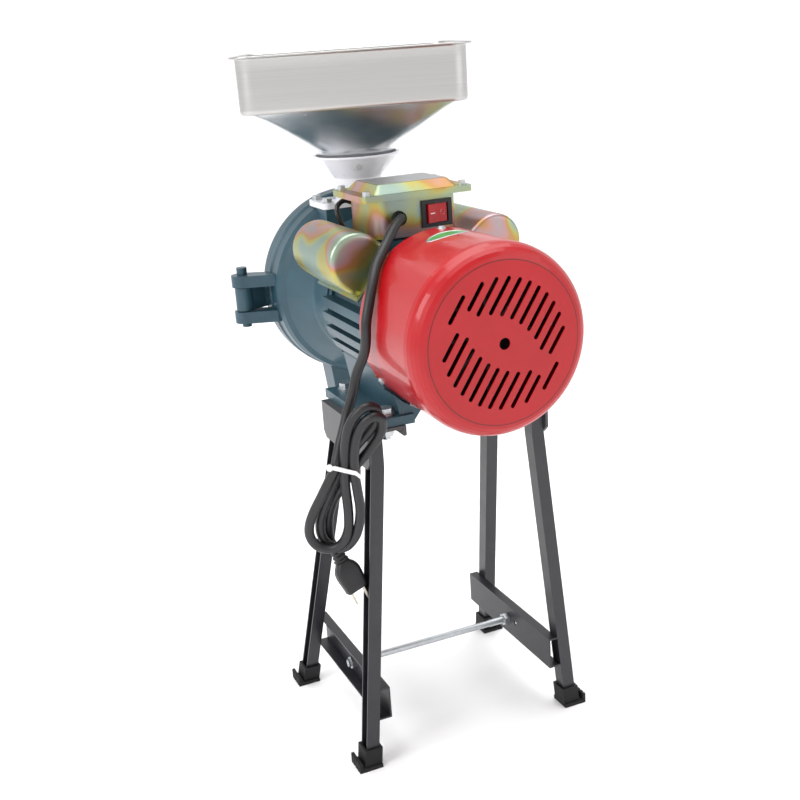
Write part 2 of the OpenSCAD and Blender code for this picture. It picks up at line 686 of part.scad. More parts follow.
// Rocker with a shallow V face that turns on short upright pivots.
module switch_rocker() color("#d41f26") box_frame(box_z)
  translate([-switch_x, box_d / 2 + 0.4, switch_z - rocker_h / 2]) rotate([0, 0, rocker_tilt])
{
      linear_extrude(rocker_h) polygon([[-rocker_w / 2 + 1, -1.5], [-3, -5], [3, -5], [rocker_w / 2 - 1, -1.5],
        [rocker_w / 2 - 0.6, 2.4], [0, 1.4], [-rocker_w / 2 + 0.6, 2.4]]);
      translate([0, 0, -0.3]) cylinder(r = 1.2, h = rocker_h + 0.6, $fn = 32);
    }
module cable_grommet() color("#1b1b1e") box_frame(box_z)
  translate([cord_hole_x, box_d / 2, cord_hole_z]) rotate([-90, 0, 0]) difference() {
    union() {
      translate([0, 0, -box_sheet - 2.5]) cylinder(r = grommet_r + 1.3, h = 2.5);
      translate([0, 0, -box_sheet - 1]) cylinder(r = grommet_r, h = 4);
      cylinder(r1 = grommet_r + 1.3, r2 = grommet_r + 0.6, h = 4);
    }
    translate([0, 0, -20]) cylinder(r = cord_d / 2 + 0.4, h = 40);
    translate([0, 0, 1]) cylinder(r1 = cord_d / 2 + 0.4, r2 = cord_d / 2 + 1.4, h = 3.5);
  }

module capacitor(side) mirror([side < 0 ? 1 : 0, 0, 0]) at(cap_a) rotate([0, 0, cap_angle])
  translate([cap_centre, 0, (cap_cover_len - cap_len) / 2]) {
    cylinder(r = cap_r, h = cap_len, $fn = 64);
    for (y = [-6, 6]) translate([-0.4, y - 2, cap_len]) cube([0.8, 4, 5]);
  }
module start_capacitor() color("#2b2d31") capacitor(1);
module run_capacitor() color("#2b2d31") capacitor(-1);

// Cover section: two straight sides closed by a round back, x outwards.
module cover_section(r, inset) {
  translate([cap_centre, 0]) circle(r = r - inset, $fn = 48);
  translate([cap_base, -r + inset]) square([cap_centre - cap_base, 2 * (r - inset)]);
}
module cap_cover(side) mirror([side < 0 ? 1 : 0, 0, 0]) at(cap_a) rotate([0, 0, cap_angle]) {
  ease = 4;
  difference() {
    hull() {
      linear_extrude(cap_cover_len) cover_section(cap_cover_r, ease, $fn = 32);
      translate([0, 0, ease]) linear_extrude(cap_cover_len - 2 * ease) cover_section(cap_cover_r, 0, $fn = 32);
    }
    hull() {
      translate([-1, 0, box_sheet]) linear_extrude(cap_cover_len - 2 * box_sheet)
        cover_section(cap_cover_r, ease + box_sheet, $fn = 32);
      translate([-1, 0, ease + box_sheet]) linear_extrude(cap_cover_len - 2 * ease - 2 * box_sheet)
        cover_section(cap_cover_r, box_sheet, $fn = 32);
    }
    translate([cap_base - 20, -40, -1]) cube([20, 80, cap_cover_len + 2]);
  }
  // turned-out lip along the lower side and the rear end
  translate([cap_base, -cap_cover_r - cap_lip, -cap_lip]) cube([box_sheet, cap_lip + box_sheet, cap_cover_len]);
  translate([cap_base, -cap_cover_r - cap_lip, -cap_lip]) cube([box_sheet, 2 * cap_cover_r - 4, cap_lip + box_sheet]);
}
module capacitor_cover_left() color("#a9a172") cap_cover(1);
module capacitor_cover_right() color("#a9a172") cap_cover(-1);
// Sweeps a round section along a list of points; the ends are cut square.
function unit(v) = v / norm(v);
function blend(p, i, t) = let (a = p[max(i - 1, 0)], b = p[i], c = p[i + 1], d = p[min(i + 2, len(p) - 1)])
  0.5 * (2 * b + (c - a) * t + (2 * a - 5 * b + 4 * c - d) * t * t + (3 * b - 3 * c + d - a) * t * t * t);
function smooth(p, steps) = concat([for (i = [0:len(p) - 2], j = [0:steps - 1]) blend(p, i, j / steps)],
  [p[len(p) - 1]]);
function ring(p, i, r, n, side) = let (
  t = unit(p[min(i + 1, len(p) - 1)] - p[max(i - 1, 0)]),
  u = unit(cross(t, side)),
  v = cross(t, u)) [for (k = [0:n - 1]) p[i] + r * (cos(360 * k / n) * u + sin(360 * k / n) * v)];
module sweep(points, r, n, side) {
  rings = len(points);
  polyhedron(
    points = [for (i = [0:rings - 1]) each ring(points, i, r, n, side)],
    faces = concat(
      [[for (k = [0:n - 1]) k]],
      [for (i = [0:rings - 2], k = [0:n - 1]) [i * n + k, (i + 1) * n + k, (i + 1) * n + (k + 1) % n,
        i * n + (k + 1) % n]],
      [[for (k = [n - 1:-1:0]) (rings - 1) * n + k]]),
    convexity = 10);
}

// Short lead that loops from the box to the left capacitor.
lead_start = [30, -box_d / 2 + 3, 24];
lead_end = [lead_start.x + 17, -box_d / 2 - 6, 4];
lead_path = [lead_start, lead_start + [0, -5, 0], lead_start + [3, -11, 2], lead_start + [12, -14, 6],
  lead_start + [21, -13, 1], lead_end + [4, -2, 10], lead_end];
module capacitor_lead() color("#18181a") box_frame(box_z) sweep(smooth(lead_path, 3), lead_r, 8, [0, 0, 1]);

// ---- Grinding head ---------------------------------------------------------
barrel_out_r = auger_bore_r + cast_wall;
bowl_out = [[0, a_neck], [neck_r, a_neck], [neck_r, a_bowl - 2], [neck_r + 2, a_bowl + 3],
  [bowl_r - 9, a_rim - 41], [bowl_r - 4, a_rim - 37], [bowl_r - 1.5, a_rim - 30], [bowl_r - 1.5, a_rim - 11],
  [bowl_r, a_rim - 9], [bowl_r, a_rim], [0, a_rim]];
bowl_in = [[0, a_web + web_t], [neck_r - cast_wall, a_web + web_t], [bowl_r - 9 - cast_wall, a_rim - 39],
  [bowl_r - 2 - cast_wall, a_rim - 30], [bowl_r - 2 - cast_wall, a_rim + 1], [0, a_rim + 1]];
bore_cut = [[0, a_neck - 1], [bearing_r + seat, a_neck - 1], [bearing_r + seat, front_brg_a + bearing_w],
  [shaft_r + 1, front_brg_a + bearing_w], [shaft_r + 1, a_web + 6], [auger_bore_r, a_web + 6],
  [auger_bore_r, a_duct_front + 1], [0, a_duct_front + 1]];

// Block under the throat's seat, from the crown of the bowl down to a height.
module throat_block(low) translate([-pad_w / 2, low, a_throat - pad_d / 2]) cube([pad_w, pad_z - low, pad_d]);
module throat_bore() translate([0, 0, a_throat]) rotate([-90, 0, 0]) cylinder(r = throat_bore_r, h = pad_z + 10);

// Cast bowl: bearing neck, web and flared wall.
module chute_way() translate([0, 0, chute_a + 5]) linear_extrude(chute_l - 10) polygon([
  [-chute_w, 23 - bowl_r], [chute_w, 23 - bowl_r], [chute_w - 5, -chute_drop - 1], [-chute_w + 5, -chute_drop - 1]]);
module mill_body() color("#3f5f6b") at(0) difference() {
  turned(bowl_out);
  turned(bowl_in);
  translate([0, 0, a_neck - 1]) tube(neck_r - 7, bearing_r + 8, neck_len - 4);
  throat_block(40);
  translate([-pad_w / 2 - 3, pad_z, a_throat - pad_d / 2 - 3]) cube([pad_w + 6, pad_drop + 1, pad_d + 6]);
  turned(bore_cut);
  chute_way();
}

// Discharge chute, hinge ears, and latch lugs with their pin, cast on the outside of the bowl.
module bowl_fittings() color("#3f5f6b") at(0) {
  difference() {
    union() {
      translate([0, 0, chute_a]) linear_extrude(chute_l) polygon([[-chute_w - 5, 17 - bowl_r],
        [-chute_w + 12, 9 - bowl_r], [0, 6 - bowl_r], [chute_w - 12, 9 - bowl_r], [chute_w + 5, 17 - bowl_r],
        [chute_w, -chute_drop], [-chute_w, -chute_drop]]);
      for (z = [hinge_z + knuckle_h / 2 + ear_gap + ear_t, hinge_z - knuckle_h / 2 - ear_gap])
        translate([0, z, 0]) rotate([90, 0, 0]) linear_extrude(ear_t) {
          translate([hinge_x, a_hinge]) circle(r = ear_r);
          polygon([[bowl_r - 6, a_hinge - 24], [bowl_r - 3, a_hinge - 24],
            [hinge_x + 5, a_hinge - ear_r + 1.2], [hinge_x - 4, a_hinge + ear_r - 0.8],
            [bowl_r + 1, a_hinge - 1], [bowl_r - 6, a_hinge - 4]]);
        }
      translate([-lug_reach, -12, a_latch - 19]) cube([lug_reach - bowl_r + 5, 24, 9]);
      for (x = [-latch_x - lug_in - lug_t, -latch_x + lug_in]) translate([x, 0, a_latch]) rotate([0, 90, 0]) {
        cylinder(r = 9, h = lug_t);
        translate([0, -8.5, 0]) cube([12, 17, lug_t]);
      }
    }
    turned(bowl_out);
    chute_way();
    translate([hinge_x, -80, a_hinge]) rotate([-90, 0, 0]) cylinder(r = hinge_pin_r + seat, h = 160);
  }
  translate([-latch_x - lug_in - 1, 0, a_latch]) rotate([0, 90, 0]) cylinder(r = latch_pin_r, h = 2 * lug_in + 2);
}

// Feed housing, cast in one with the bowl: throat seat, duct and auger barrel.
module feed_housing() color("#3f5f6b") at(0) difference() {
  union() {
    difference() {
      throat_block(40);
      turned(bowl_in);
    }
    throat_block(pad_z - 14);
    translate([-duct_r, 12, a_web + web_t])
      cube([2 * duct_r, pad_z - 14, a_throat + duct_r - a_web - web_t]);
    translate([0, 0, a_web + web_t]) cylinder(r = barrel_out_r, h = a_duct_front - a_web - web_t);
  }
  turned(bore_cut);
  throat_bore();
  for (x = [-1, 1], y = [-1, 1]) translate([x * throat_bolt_x, pad_z + 1, a_throat + y * throat_bolt_y])
    rotate([90, 0, 0]) cylinder(r = 2.6, h = 13);
}

// Dished door with its hinge knuckle, latch ear and screw boss.
door_out = [[0, a_door], [bowl_r, a_door], [bowl_r, a_door + 9], [bowl_r - 5, a_door + 12],
  [bowl_r - 9, a_door + 21], [bowl_r - 17, a_door + 29], [bowl_r - 31, a_rim + door_depth],
  [boss_r + 3, a_rim + door_depth], [boss_r, a_rim + door_depth + 3], [boss_r, a_boss], [0, a_boss]];
door_in = [[0, a_door - 1], [bowl_r - 7, a_door - 1], [bowl_r - 11, a_door + 8], [bowl_r - 14, a_door + 17],
  [bowl_r - 22, a_door + 24], [bowl_r - 34, a_rim + door_depth - cast_wall], [0, a_rim + door_depth - cast_wall]];
module front_door() color("#3f5f6b") at(0) difference() {
  union() {
    turned(door_out);
    // hinge knuckle and its arm
    translate([0, hinge_z + knuckle_h / 2, 0]) rotate([90, 0, 0]) linear_extrude(knuckle_h) {
      translate([hinge_x, a_hinge]) circle(r = knuckle_r);
      polygon([[bowl_r - 12, a_door + 1], [bowl_r + 2, a_door + 1], [hinge_x - 8, a_hinge - 5],
        [hinge_x, a_hinge + knuckle_r - 0.1], [bowl_r - 12, a_door + 12]]);
    }
    // slotted latch ear and ribs round the boss
    translate([-lug_reach, -13, a_door]) cube([lug_reach - bowl_r + 14, 26, door_ear_t]);
    for (i = [0:5]) rotate([0, 0, 30 + i * 60]) translate([boss_r - 2, -2.5, a_rim + door_depth - 12])
      cube([46, 5, 15]);
  }
  turned(door_in);
  translate([0, 0, a_rim]) cylinder(r = stem_r + run_fit, h = a_boss - a_rim - boss_cap);
  cylinder(r = screw_r + run_fit, h = a_boss + 20);
  translate([hinge_x, -80, a_hinge]) rotate([-90, 0, 0]) cylinder(r = hinge_pin_r + run_fit, h = 160);
  translate([-latch_x - latch_r - 0.7, -20, a_door - 1]) cube([2 * latch_r + 1.4, 20 + latch_r + 0.7, 20]);
}
module door_hinge_pin() color("#3f5f6b") at(0) translate([hinge_x, hinge_z, a_hinge]) rotate([-90, 0, 0]) {
  half = knuckle_h / 2 + ear_gap + ear_t;
  translate([0, 0, -half - 5]) cylinder(r = hinge_pin_r, h = 2 * half + 5 + e);
  translate([0, 0, half]) cylinder(r = hinge_pin_r + 0.6, h = 8);
}

// Feed screw: one flight wound round a hub that keys on the shaft.
module feed_auger() color("#7d8388") at(auger_a) difference() {
  union() {
    cylinder(r = 16, h = auger_len);
    linear_extrude(auger_len - 2, twist = -360 * (auger_len - 2) / 34, slices = 40)
      translate([12, -2.5]) square([auger_r - 12.2, 5]);
  }
  translate([0, 0, -1]) cylinder(r = nose_r + run_fit, h = auger_len + 2);
}
module grinding_head() color("#6f767b") at(a_head) difference() {
  union() {
    cylinder(r = disc_r - 2, h = head_t, $fn = 96);
    cylinder(r = 18, h = head_t);
  }
  translate([0, 0, -1]) cylinder(r = nose_r + run_fit, h = head_t + 8);
  for (i = [0:2]) rotate([0, 0, i * 120]) translate([0, 0, -1]) rotate_extrude(angle = 90)
    translate([18, 0]) square([disc_eye_r - 18 + 2, head_t + 2]);
}

// Cast disc with slanting furrows across its face.
module disc_face(dir) difference() {
  tube(disc_r, disc_eye_r, disc_t, $fn = 96);
  for (i = [0:furrow_count - 1]) rotate([0, 0, i * 360 / furrow_count])
    translate([disc_eye_r - 6, dir * 14 - 1.5, disc_t - furrow_d]) cube([disc_r, 3, furrow_d + 1]);
}
module rotating_disc() color("#83898d") at(a_disc) disc_face(1);
module stationary_disc() color("#83898d") at(a_static + disc_t) mirror([0, 0, 1]) disc_face(-1);
module disc_carrier() color("#6f767b") at(a_carrier) difference() {
  union() {
    cylinder(r = disc_r - 10, h = carrier_t, $fn = 96);
    cylinder(r = stem_r, h = stem_end - a_carrier);
    mirror([0, 0, 1]) cylinder(r = disc_eye_r - 0.3, h = 6);
  }
  translate([0, 0, stem_end - a_carrier - 6]) cylinder(r = screw_r + run_fit, h = 20);
}
module adjusting_screw() color("#c9ccd0") at(screw_tip) {
  cylinder(r = screw_r, h = a_front - screw_tip - 2 * bar_r - 4);
  translate([0, 0, a_front - screw_tip - 2 * bar_r - 8]) cylinder(r = 10, h = 2 * bar_r + 8);
  translate([0, 0, a_front - screw_tip - bar_r - 4]) rotate([0, 90, 0]) {
    translate([0, 0, -42]) cylinder(r = bar_r, h = 84);
    for (z = [-50, 42]) translate([0, 0, z]) cylinder(r = 6.5, h = 8);
  }
}
module lock_nut() color("#c9ccd0") at(a_boss + part_gap) difference() {
  union() {
    hex_head(13, lock_nut_t);
    both_sides() translate([10, -3, 0]) cube([18, 6, lock_nut_t]);
  }
  translate([0, 0, -1]) cylinder(r = screw_r + run_fit, h = lock_nut_t + 2);
}

// Latch: an eye bolt on a cross pin, hanging open, with washer and knob.
module latch_frame() at(a_latch) translate([-latch_x, 0, 0]) children();
module swing_bolt() color("#c9ccd0") latch_frame() {
  difference() {
    union() {
      translate([-lug_in + 0.4, 0, 0]) rotate([0, 90, 0]) cylinder(r = 8.5, h = 2 * lug_in - 0.8);
      rotate([90, 0, 0]) cylinder(r = latch_r, h = bolt_len);
    }
    rotate([0, 90, 0]) cylinder(r = latch_pin_r + run_fit, h = 40, center = true);
  }
}
module clamp_washer() color("#d5d8dc") latch_frame() translate([0, -washer_drop, 0]) rotate([90, 0, 0])
  tube(11, latch_r + run_fit, washer_t);
module clamp_knob() color("#1b1b1e") latch_frame() translate([0, -washer_drop - washer_t, 0])
  rotate([90, 0, 0]) difference() {
    union() {
      cylinder(r = 9, h = 17);
      translate([0, 0, 3]) linear_extrude(12) {
        circle(r = knob_r - 3.5);
        for (i = [0:4]) rotate(i * 72 + 10) translate([knob_r - 5, 0]) circle(r = 5);
      }
    }
    translate([0, 0, -1]) cylinder(r = latch_r + run_fit, h = 20);
  }

// ---- Feed ------------------------------------------------------------------
module feed_frame(z) translate([0, y_back - a_throat, axis_h + pad_z + z]) children();
module feed_throat() color("#e4e4ea") feed_frame(0) difference() {
  union() {
    linear_extrude(flange_t) round_rect(pad_w + 4, pad_d + 2, 6);
    turned([[0, 0], [neck_out_r, 0], [neck_out_r, neck_top], [cup_r, cup_z - 2], [cup_r, cup_z], [0, cup_z]]);
  }
  turned([[0, -1], [throat_bore_r, -1], [throat_bore_r, neck_top + 1], [cup_in_r, cup_z - cup_band],
    [cup_in_r, cup_z + 1], [0, cup_z + 1]]);
  for (x = [-1, 1], y = [-1, 1]) translate([x * throat_bolt_x, y * throat_bolt_y, -1])
    cylinder(r = 3.4, h = 20);
  set_screw_frame() translate([0, 0, -30]) cylinder(r = set_screw_r + seat, h = 60);
}
set_screw_r = 3;
set_screw_z = cup_z - 11;
module set_screw_frame() translate([0, 0, set_screw_z]) rotate([0, 90, 72]) translate([0, 0, cup_r - 9]) children();
module hopper_screw() color("#d5d8dc") feed_frame(0) set_screw_frame()
  translate([0, 0, -2.5]) cylinder(r = set_screw_r, h = 4.5, $fn = 32);
module throat_bolts() color("#d5d8dc") for (x = [-1, 1], y = [-1, 1])
  feed_frame(flange_t) translate([x * throat_bolt_x, y * throat_bolt_y, 0]) {
    cylinder(r = 6, h = 1, $fn = 32);
    translate([0, 0, 1]) hex_head(5, 3.6);
    translate([0, 0, -flange_t - 11]) cylinder(r = 2.5, h = flange_t + 12, $fn = 24);
  }

// Hopper: drawn square wall, then a cone that blends square to round.
module hopper_slab(w, r, z) translate([0, 0, z]) linear_extrude(0.1) round_rect(w, w, r, $fn = 32);
module spigot_slab(r) translate([0, 0, cup_z + 1]) cylinder(r = r, h = 0.1);
module hopper() color("#c4c8cc") feed_frame(0) rotate([0, 0, hopper_turn]) {
  wall = hopper_sheet;
  fold_w = hopper_w - 1.5;
  in_w = fold_w - 2 * wall;
  difference() {
    union() {
      hull() {
        hopper_slab(hopper_w, hopper_corner, hopper_h - 0.1);
        hopper_slab(fold_w, hopper_corner, fold_z);
      }
      hull() {
        hopper_slab(fold_w, hopper_corner, fold_z);
        spigot_slab(spigot_r);
      }
      translate([0, 0, hopper_h - 1.5]) linear_extrude(1.5)
        round_rect(hopper_w + 2 * lip_w, hopper_w + 2 * lip_w, hopper_corner + lip_w);
      translate([0, 0, seat_z]) cylinder(r = spigot_r, h = cup_z + 1.1 - seat_z);
    }
    hull() {
      hopper_slab(hopper_w - 2 * wall, hopper_corner - wall, hopper_h + 0.5);
      hopper_slab(in_w, hopper_corner - wall, fold_z + 0.5);
    }
    hull() {
      hopper_slab(in_w, hopper_corner - wall, fold_z + 0.5);
      spigot_slab(spigot_r - wall);
    }
    translate([0, 0, seat_z - 1]) cylinder(r = spigot_r - wall, h = cup_z + 3 - seat_z);
  }
}

// ---- Power cord --------------------------------------------------------------
// The cord drops from the box to a tied hank that hangs beside the rear leg.
function place(x, a, h) = [x, y_back - a, axis_h + h];
exit_a = box_a - box_d / 2;
exit_h = box_z + cord_hole_z;
cord_path = [place(cord_hole_x, exit_a + 2, exit_h), place(cord_hole_x, exit_a - 1.5, exit_h),
  place(cord_hole_x, exit_a - 5, exit_h),
  place(23, 155, 95), place(30, 147, 90), place(43, 134, 82), place(56, 121, 72), place(69, 110, 60),
  place(78, 99, 48), place(86, 90, 33), place(92, 86, 16), place(93, 88, -2), place(94, 94, -16),
  place(99, 102, -34), place(104, 103, -52), place(110, 104, -68), place(116, 102, -83),
  place(123, 99, -96), place(128, 96, -106)];
cord_r = cord_d / 2;
hank_t = 2 * cord_d;
// Middle and radius of the hank's upper folds, its lower loops and the tied waist.
fold_at = [-0.5, -11];
fold_r = 21.5;
loop_at = [4.5, -129];
loop_r = 27;
tie_at = [4.8, -62];
tie_half = 15.2;
tie_h = 4;
// Hangs from its upper fold, local -z along the strands, x across them.
module hank_frame() translate(place(103, 75, -61)) rotate([0, 0, -28]) rotate([-7, 0, 0]) rotate([0, -17, 0])
  children();
// Stands at the foot of the plug's neck, local -z towards the pins.
module plug_frame() translate(place(128.3, 124.8, -207.8)) rotate([18, 19, 0]) children();

module power_cord() color("#18181a") sweep(smooth(cord_path, 4), cord_r, 10, [1, -0.3, 0.5]);
// Five strands gathered at the waist, with one gap left open in the lower loops.
module cord_hank() color("#18181a") hank_frame() rotate([90, 0, 0]) difference() {
  translate([0, 0, -hank_t / 2]) linear_extrude(hank_t) {
    translate(fold_at) circle(r = fold_r);
    translate(loop_at) circle(r = loop_r);
    polygon([fold_at - [fold_r, 0], tie_at + [-tie_half, tie_h], tie_at - [tie_half, tie_h],
      loop_at - [loop_r, 0], loop_at + [loop_r, 0], tie_at + [tie_half, -tie_h],
      tie_at + [tie_half, tie_h], fold_at + [fold_r, 0]]);
  }
  translate([loop_at.x - 3.5, loop_at.y + 12, -hank_t]) cylinder(r = 6, h = 2 * hank_t);
}
module cord_tie() color("#e8e8ea") hank_frame() translate([tie_at.x, 0, tie_at.y - tie_h / 2])
  linear_extrude(tie_h) difference() {
    square([2 * tie_half + 3, hank_t + 3], center = true);
    square([2 * tie_half, hank_t], center = true);
  }
neck_len_plug = 21;
plug_w = 25;
plug_l = 27;
plug_t = 15;
module plug() color("#18181a") plug_frame() {
  translate([0, 0, -neck_len_plug]) cylinder(r = cord_r, h = neck_len_plug + 8);
  for (i = [0:3]) translate([0, 0, -2.6 * i - 12]) cylinder(r = cord_r + 1.4, h = 1.4);
  translate([0, plug_t / 2, 0]) rotate([90, 0, 0]) linear_extrude(plug_t)
    polygon([[-8, -neck_len_plug], [8, -neck_len_plug], [plug_w / 2, -neck_len_plug - 9],
      [plug_w / 2 - 2, -neck_len_plug - plug_l], [-plug_w / 2 + 2, -neck_len_plug - plug_l],
      [-plug_w / 2, -neck_len_plug - 9]]);
}
module plug_pins() color("#d5d8dc") plug_frame() for (x = [-1, 1])
  translate([x * 6.35 - 0.75, -3.1, -neck_len_plug - plug_l - 12]) cube([1.5, 6.2, 12]);

stand_rail_left();
stand_rail_right();
leg_rear_left();
leg_rear_right();
leg_front_left();
leg_front_right();
leg_shoes();
cross_member_left();
cross_member_right();
tie_rod();
tie_rod_nuts();
foot_bolts();
motor_frame();
stator_core();
stator_windings();
rotor_core();
rotor_shaft();
ball_bearings();
centrifugal_switch();
rear_end_shield();
cooling_fan();
fan_cover();
cover_screws();
earth_screw();
terminal_box();
box_gasket();
box_lid();
lid_screws();
switch_bezel();
switch_rocker();
cable_grommet();
start_capacitor();
run_capacitor();
capacitor_cover_left();
capacitor_cover_right();
capacitor_lead();
mill_body();
bowl_fittings();
feed_housing();
front_door();
door_hinge_pin();
feed_auger();
grinding_head();
rotating_disc();
stationary_disc();
disc_carrier();
adjusting_screw();
lock_nut();
swing_bolt();
clamp_washer();
clamp_knob();
feed_throat();
throat_bolts();
hopper();
hopper_screw();
power_cord();
cord_hank();
cord_tie();
plug();
plug_pins();
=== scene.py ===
import math

import bmesh
import bpy
from mathutils import Matrix, Vector


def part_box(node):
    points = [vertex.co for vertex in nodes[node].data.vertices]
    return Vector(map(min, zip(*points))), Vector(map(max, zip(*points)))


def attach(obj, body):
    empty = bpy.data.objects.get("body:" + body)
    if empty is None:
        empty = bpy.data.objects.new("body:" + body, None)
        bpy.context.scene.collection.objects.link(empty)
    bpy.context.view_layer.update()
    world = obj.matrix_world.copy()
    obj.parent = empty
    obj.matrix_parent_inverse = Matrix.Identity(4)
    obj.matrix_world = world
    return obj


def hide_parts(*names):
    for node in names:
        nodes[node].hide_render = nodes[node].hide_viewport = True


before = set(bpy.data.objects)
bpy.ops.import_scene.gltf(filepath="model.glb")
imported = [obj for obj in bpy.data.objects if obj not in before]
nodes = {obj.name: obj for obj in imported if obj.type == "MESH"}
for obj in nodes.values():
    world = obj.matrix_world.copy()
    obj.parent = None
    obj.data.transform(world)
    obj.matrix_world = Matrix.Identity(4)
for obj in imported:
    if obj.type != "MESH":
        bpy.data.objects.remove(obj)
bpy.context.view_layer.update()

# ---- Camera -----------------------------------------------------------------
# Stands behind the machine on the hinge side, a little above the motor, and
# looks down at the fan cover.  Its place is counted from the middle of the
# cover's flat face.
MM = 0.001
cover_low, cover_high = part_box("fan_cover")
hub = Vector((0, cover_high.y, (cover_low.z + cover_high.z) / 2))


def place(across, forward, up):
    """A point in the machine's own millimetres: across, forward of the fan cover, above the axis."""
    return hub + Vector((across, -forward, up)) * MM


azimuth, elevation, roll = (math.radians(angle) for angle in (157.42, 17.59, -4.01))
towards_camera = Vector((math.sin(azimuth) * math.cos(elevation), -math.cos(azimuth) * math.cos(elevation),
                         math.sin(elevation)))
level_right = towards_camera.cross(Vector((0, 0, -1))).normalized()
level_up = level_right.cross(-towards_camera)
camera_right = math.cos(roll) * level_right + math.sin(roll) * level_up
camera_up = math.cos(roll) * level_up - math.sin(roll) * level_right
camera = bpy.data.objects.new("camera", bpy.data.cameras.new("camera"))
camera.data.sensor_width = 36
camera.data.lens = 52.14
camera.matrix_world = (Matrix.Translation(place(452.8, -847.2, 259.5))
                       @ Matrix((camera_right, camera_up, towards_camera)).transposed().to_4x4())
bpy.context.collection.objects.link(camera)
bpy.context.scene.camera = camera


# ---- Power cord --------------------------------------------------------------
# A round three-core lead in black PVC that leaves the terminal box through its
# grommet, drops past the motor foot and is folded into a hank of five strands.
# Extruded PVC is satin, with faint scuffs from being folded.
CORD_D = 9.4 * MM
hank_top = place(103, 75, -61)
hank_turn = (Matrix.Rotation(math.radians(-28), 3, "Z") @ Matrix.Rotation(math.radians(-7), 3, "X")
             @ Matrix.Rotation(math.radians(-17), 3, "Y"))


def in_hank(across, out, down):
    """A point in the hank's own millimetres: across its strands, out of its face, along it."""
    return hank_top + hank_turn @ Vector((across, out, down)) * MM


def srgb(code):
    """An sRGB hex colour as the linear colour that a shader takes."""
    parts = [int(code[i:i + 2], 16) / 255 for i in (1, 3, 5)]
    return [part / 12.92 if part <= 0.04045 else ((part + 0.055) / 1.055) ** 2.4 for part in parts] + [1]


def add_node(tree, kind, inputs=None, **settings):
    """One shader node with its settings; each input is a value, or a socket to link."""
    node = tree.nodes.new("ShaderNode" + kind)
    for name, value in settings.items():
        setattr(node, name, value)
    for socket, value in (inputs or {}).items():
        if isinstance(value, bpy.types.NodeSocket):
            tree.links.new(value, node.inputs[socket])
        else:
            node.inputs[socket].default_value = value
    return node


def new_finish(name, inputs):
    """A material of one shader with fixed inputs; also gives its nodes and the object's coordinates."""
    material = bpy.data.materials.new(name)
    material.use_nodes = True
    tree = material.node_tree
    tree.nodes.clear()
    shader = add_node(tree, "BsdfPrincipled", inputs)
    add_node(tree, "OutputMaterial", {"Surface": shader.outputs["BSDF"]})
    return material, tree, shader, add_node(tree, "TexCoord").outputs["Object"]


def vary_surface(tree, shader, where, shades, patch, gloss, grain, depth):
    """Two shades in patches, roughness that follows them, and a fine relief; sizes in mm."""
    patches = add_node(tree, "TexNoise", {"Vector": where, "Scale": 1 / (patch * MM), "Detail": 4,
                                          "Roughness": 0.6}).outputs["Fac"]
    even = add_node(tree, "MapRange", {"Value": patches, "From Min": 0.3, "From Max": 0.7}).outputs["Result"]
    colour = add_node(tree, "Mix", {0: even, 6: srgb(shades[0]), 7: srgb(shades[1])}, data_type="RGBA")
    tree.links.new(colour.outputs[2], shader.inputs["Base Color"])
    rough = add_node(tree, "MapRange", {"Value": patches, "From Min": 0.25, "From Max": 0.75,
                                        "To Min": gloss[0], "To Max": gloss[1]})
    tree.links.new(rough.outputs["Result"], shader.inputs["Roughness"])
    relief = add_node(tree, "TexNoise", {"Vector": where, "Scale": 1 / (grain * MM), "Detail": 2})
    bump = add_node(tree, "Bump", {"Height": relief.outputs["Fac"], "Distance": depth * MM, "Strength": 0.6})
    tree.links.new(bump.outputs["Normal"], shader.inputs["Normal"])
    return colour.outputs[2]


def extruded_pvc():
    """Black PVC sheath: near black, satin, with scuffed patches a few millimetres long."""
    material, tree, shader, where = new_finish("extruded_black_pvc", {"IOR": 1.53, "Specular IOR Level": 0.45})
    vary_surface(tree, shader, where, ("#151517", "#1e1e21"), 14, (0.36, 0.52), 1.2, 0.05)
    return material


def smooth_route(points, steps):
    """A Catmull-Rom curve through the points, so that it passes through each of them."""
    route = []
    for i in range(len(points) - 1):
        a, b = points[max(i - 1, 0)], points[i]
        c, d = points[i + 1], points[min(i + 2, len(points) - 1)]
        for step in range(steps):
            t = step / steps
            route.append(0.5 * (2 * b + (c - a) * t + (2 * a - 5 * b + 4 * c - d) * t ** 2
                                + (3 * b - 3 * c + d - a) * t ** 3))
    return route + [points[-1]]


def round_bar(name, points, radius, material):
    """A bar of round section along a smooth route of points."""
    data = bpy.data.curves.new(name, "CURVE")
    data.dimensions = "3D"
    data.bevel_depth = radius
    data.bevel_resolution = 5
    data.use_fill_caps = True
    spline = data.splines.new("POLY")
    spline.points.add(len(points) - 1)
    for point, at in zip(spline.points, points):
        point.co = (*at, 1)
    spline.use_smooth = True
    data.materials.append(material)
    obj = bpy.data.objects.new(name, data)
    bpy.context.collection.objects.link(obj)
    return obj


cord_exit = place(20, 165, 91)
drop = [cord_exit, place(20.6, 159, 91.7), place(23.8, 152.6, 92), place(31.5, 145.2, 89.4), place(43, 134, 82),
        place(56, 121, 72), place(69, 110, 60), place(78, 99, 48), place(86, 90, 33), place(92, 86, 16),
        place(93, 88, -2), place(94, 94, -16), place(99, 102, -34), place(104, 103, -52), place(110, 104, -68),
        place(116, 102, -83), place(122, 99, -96)]
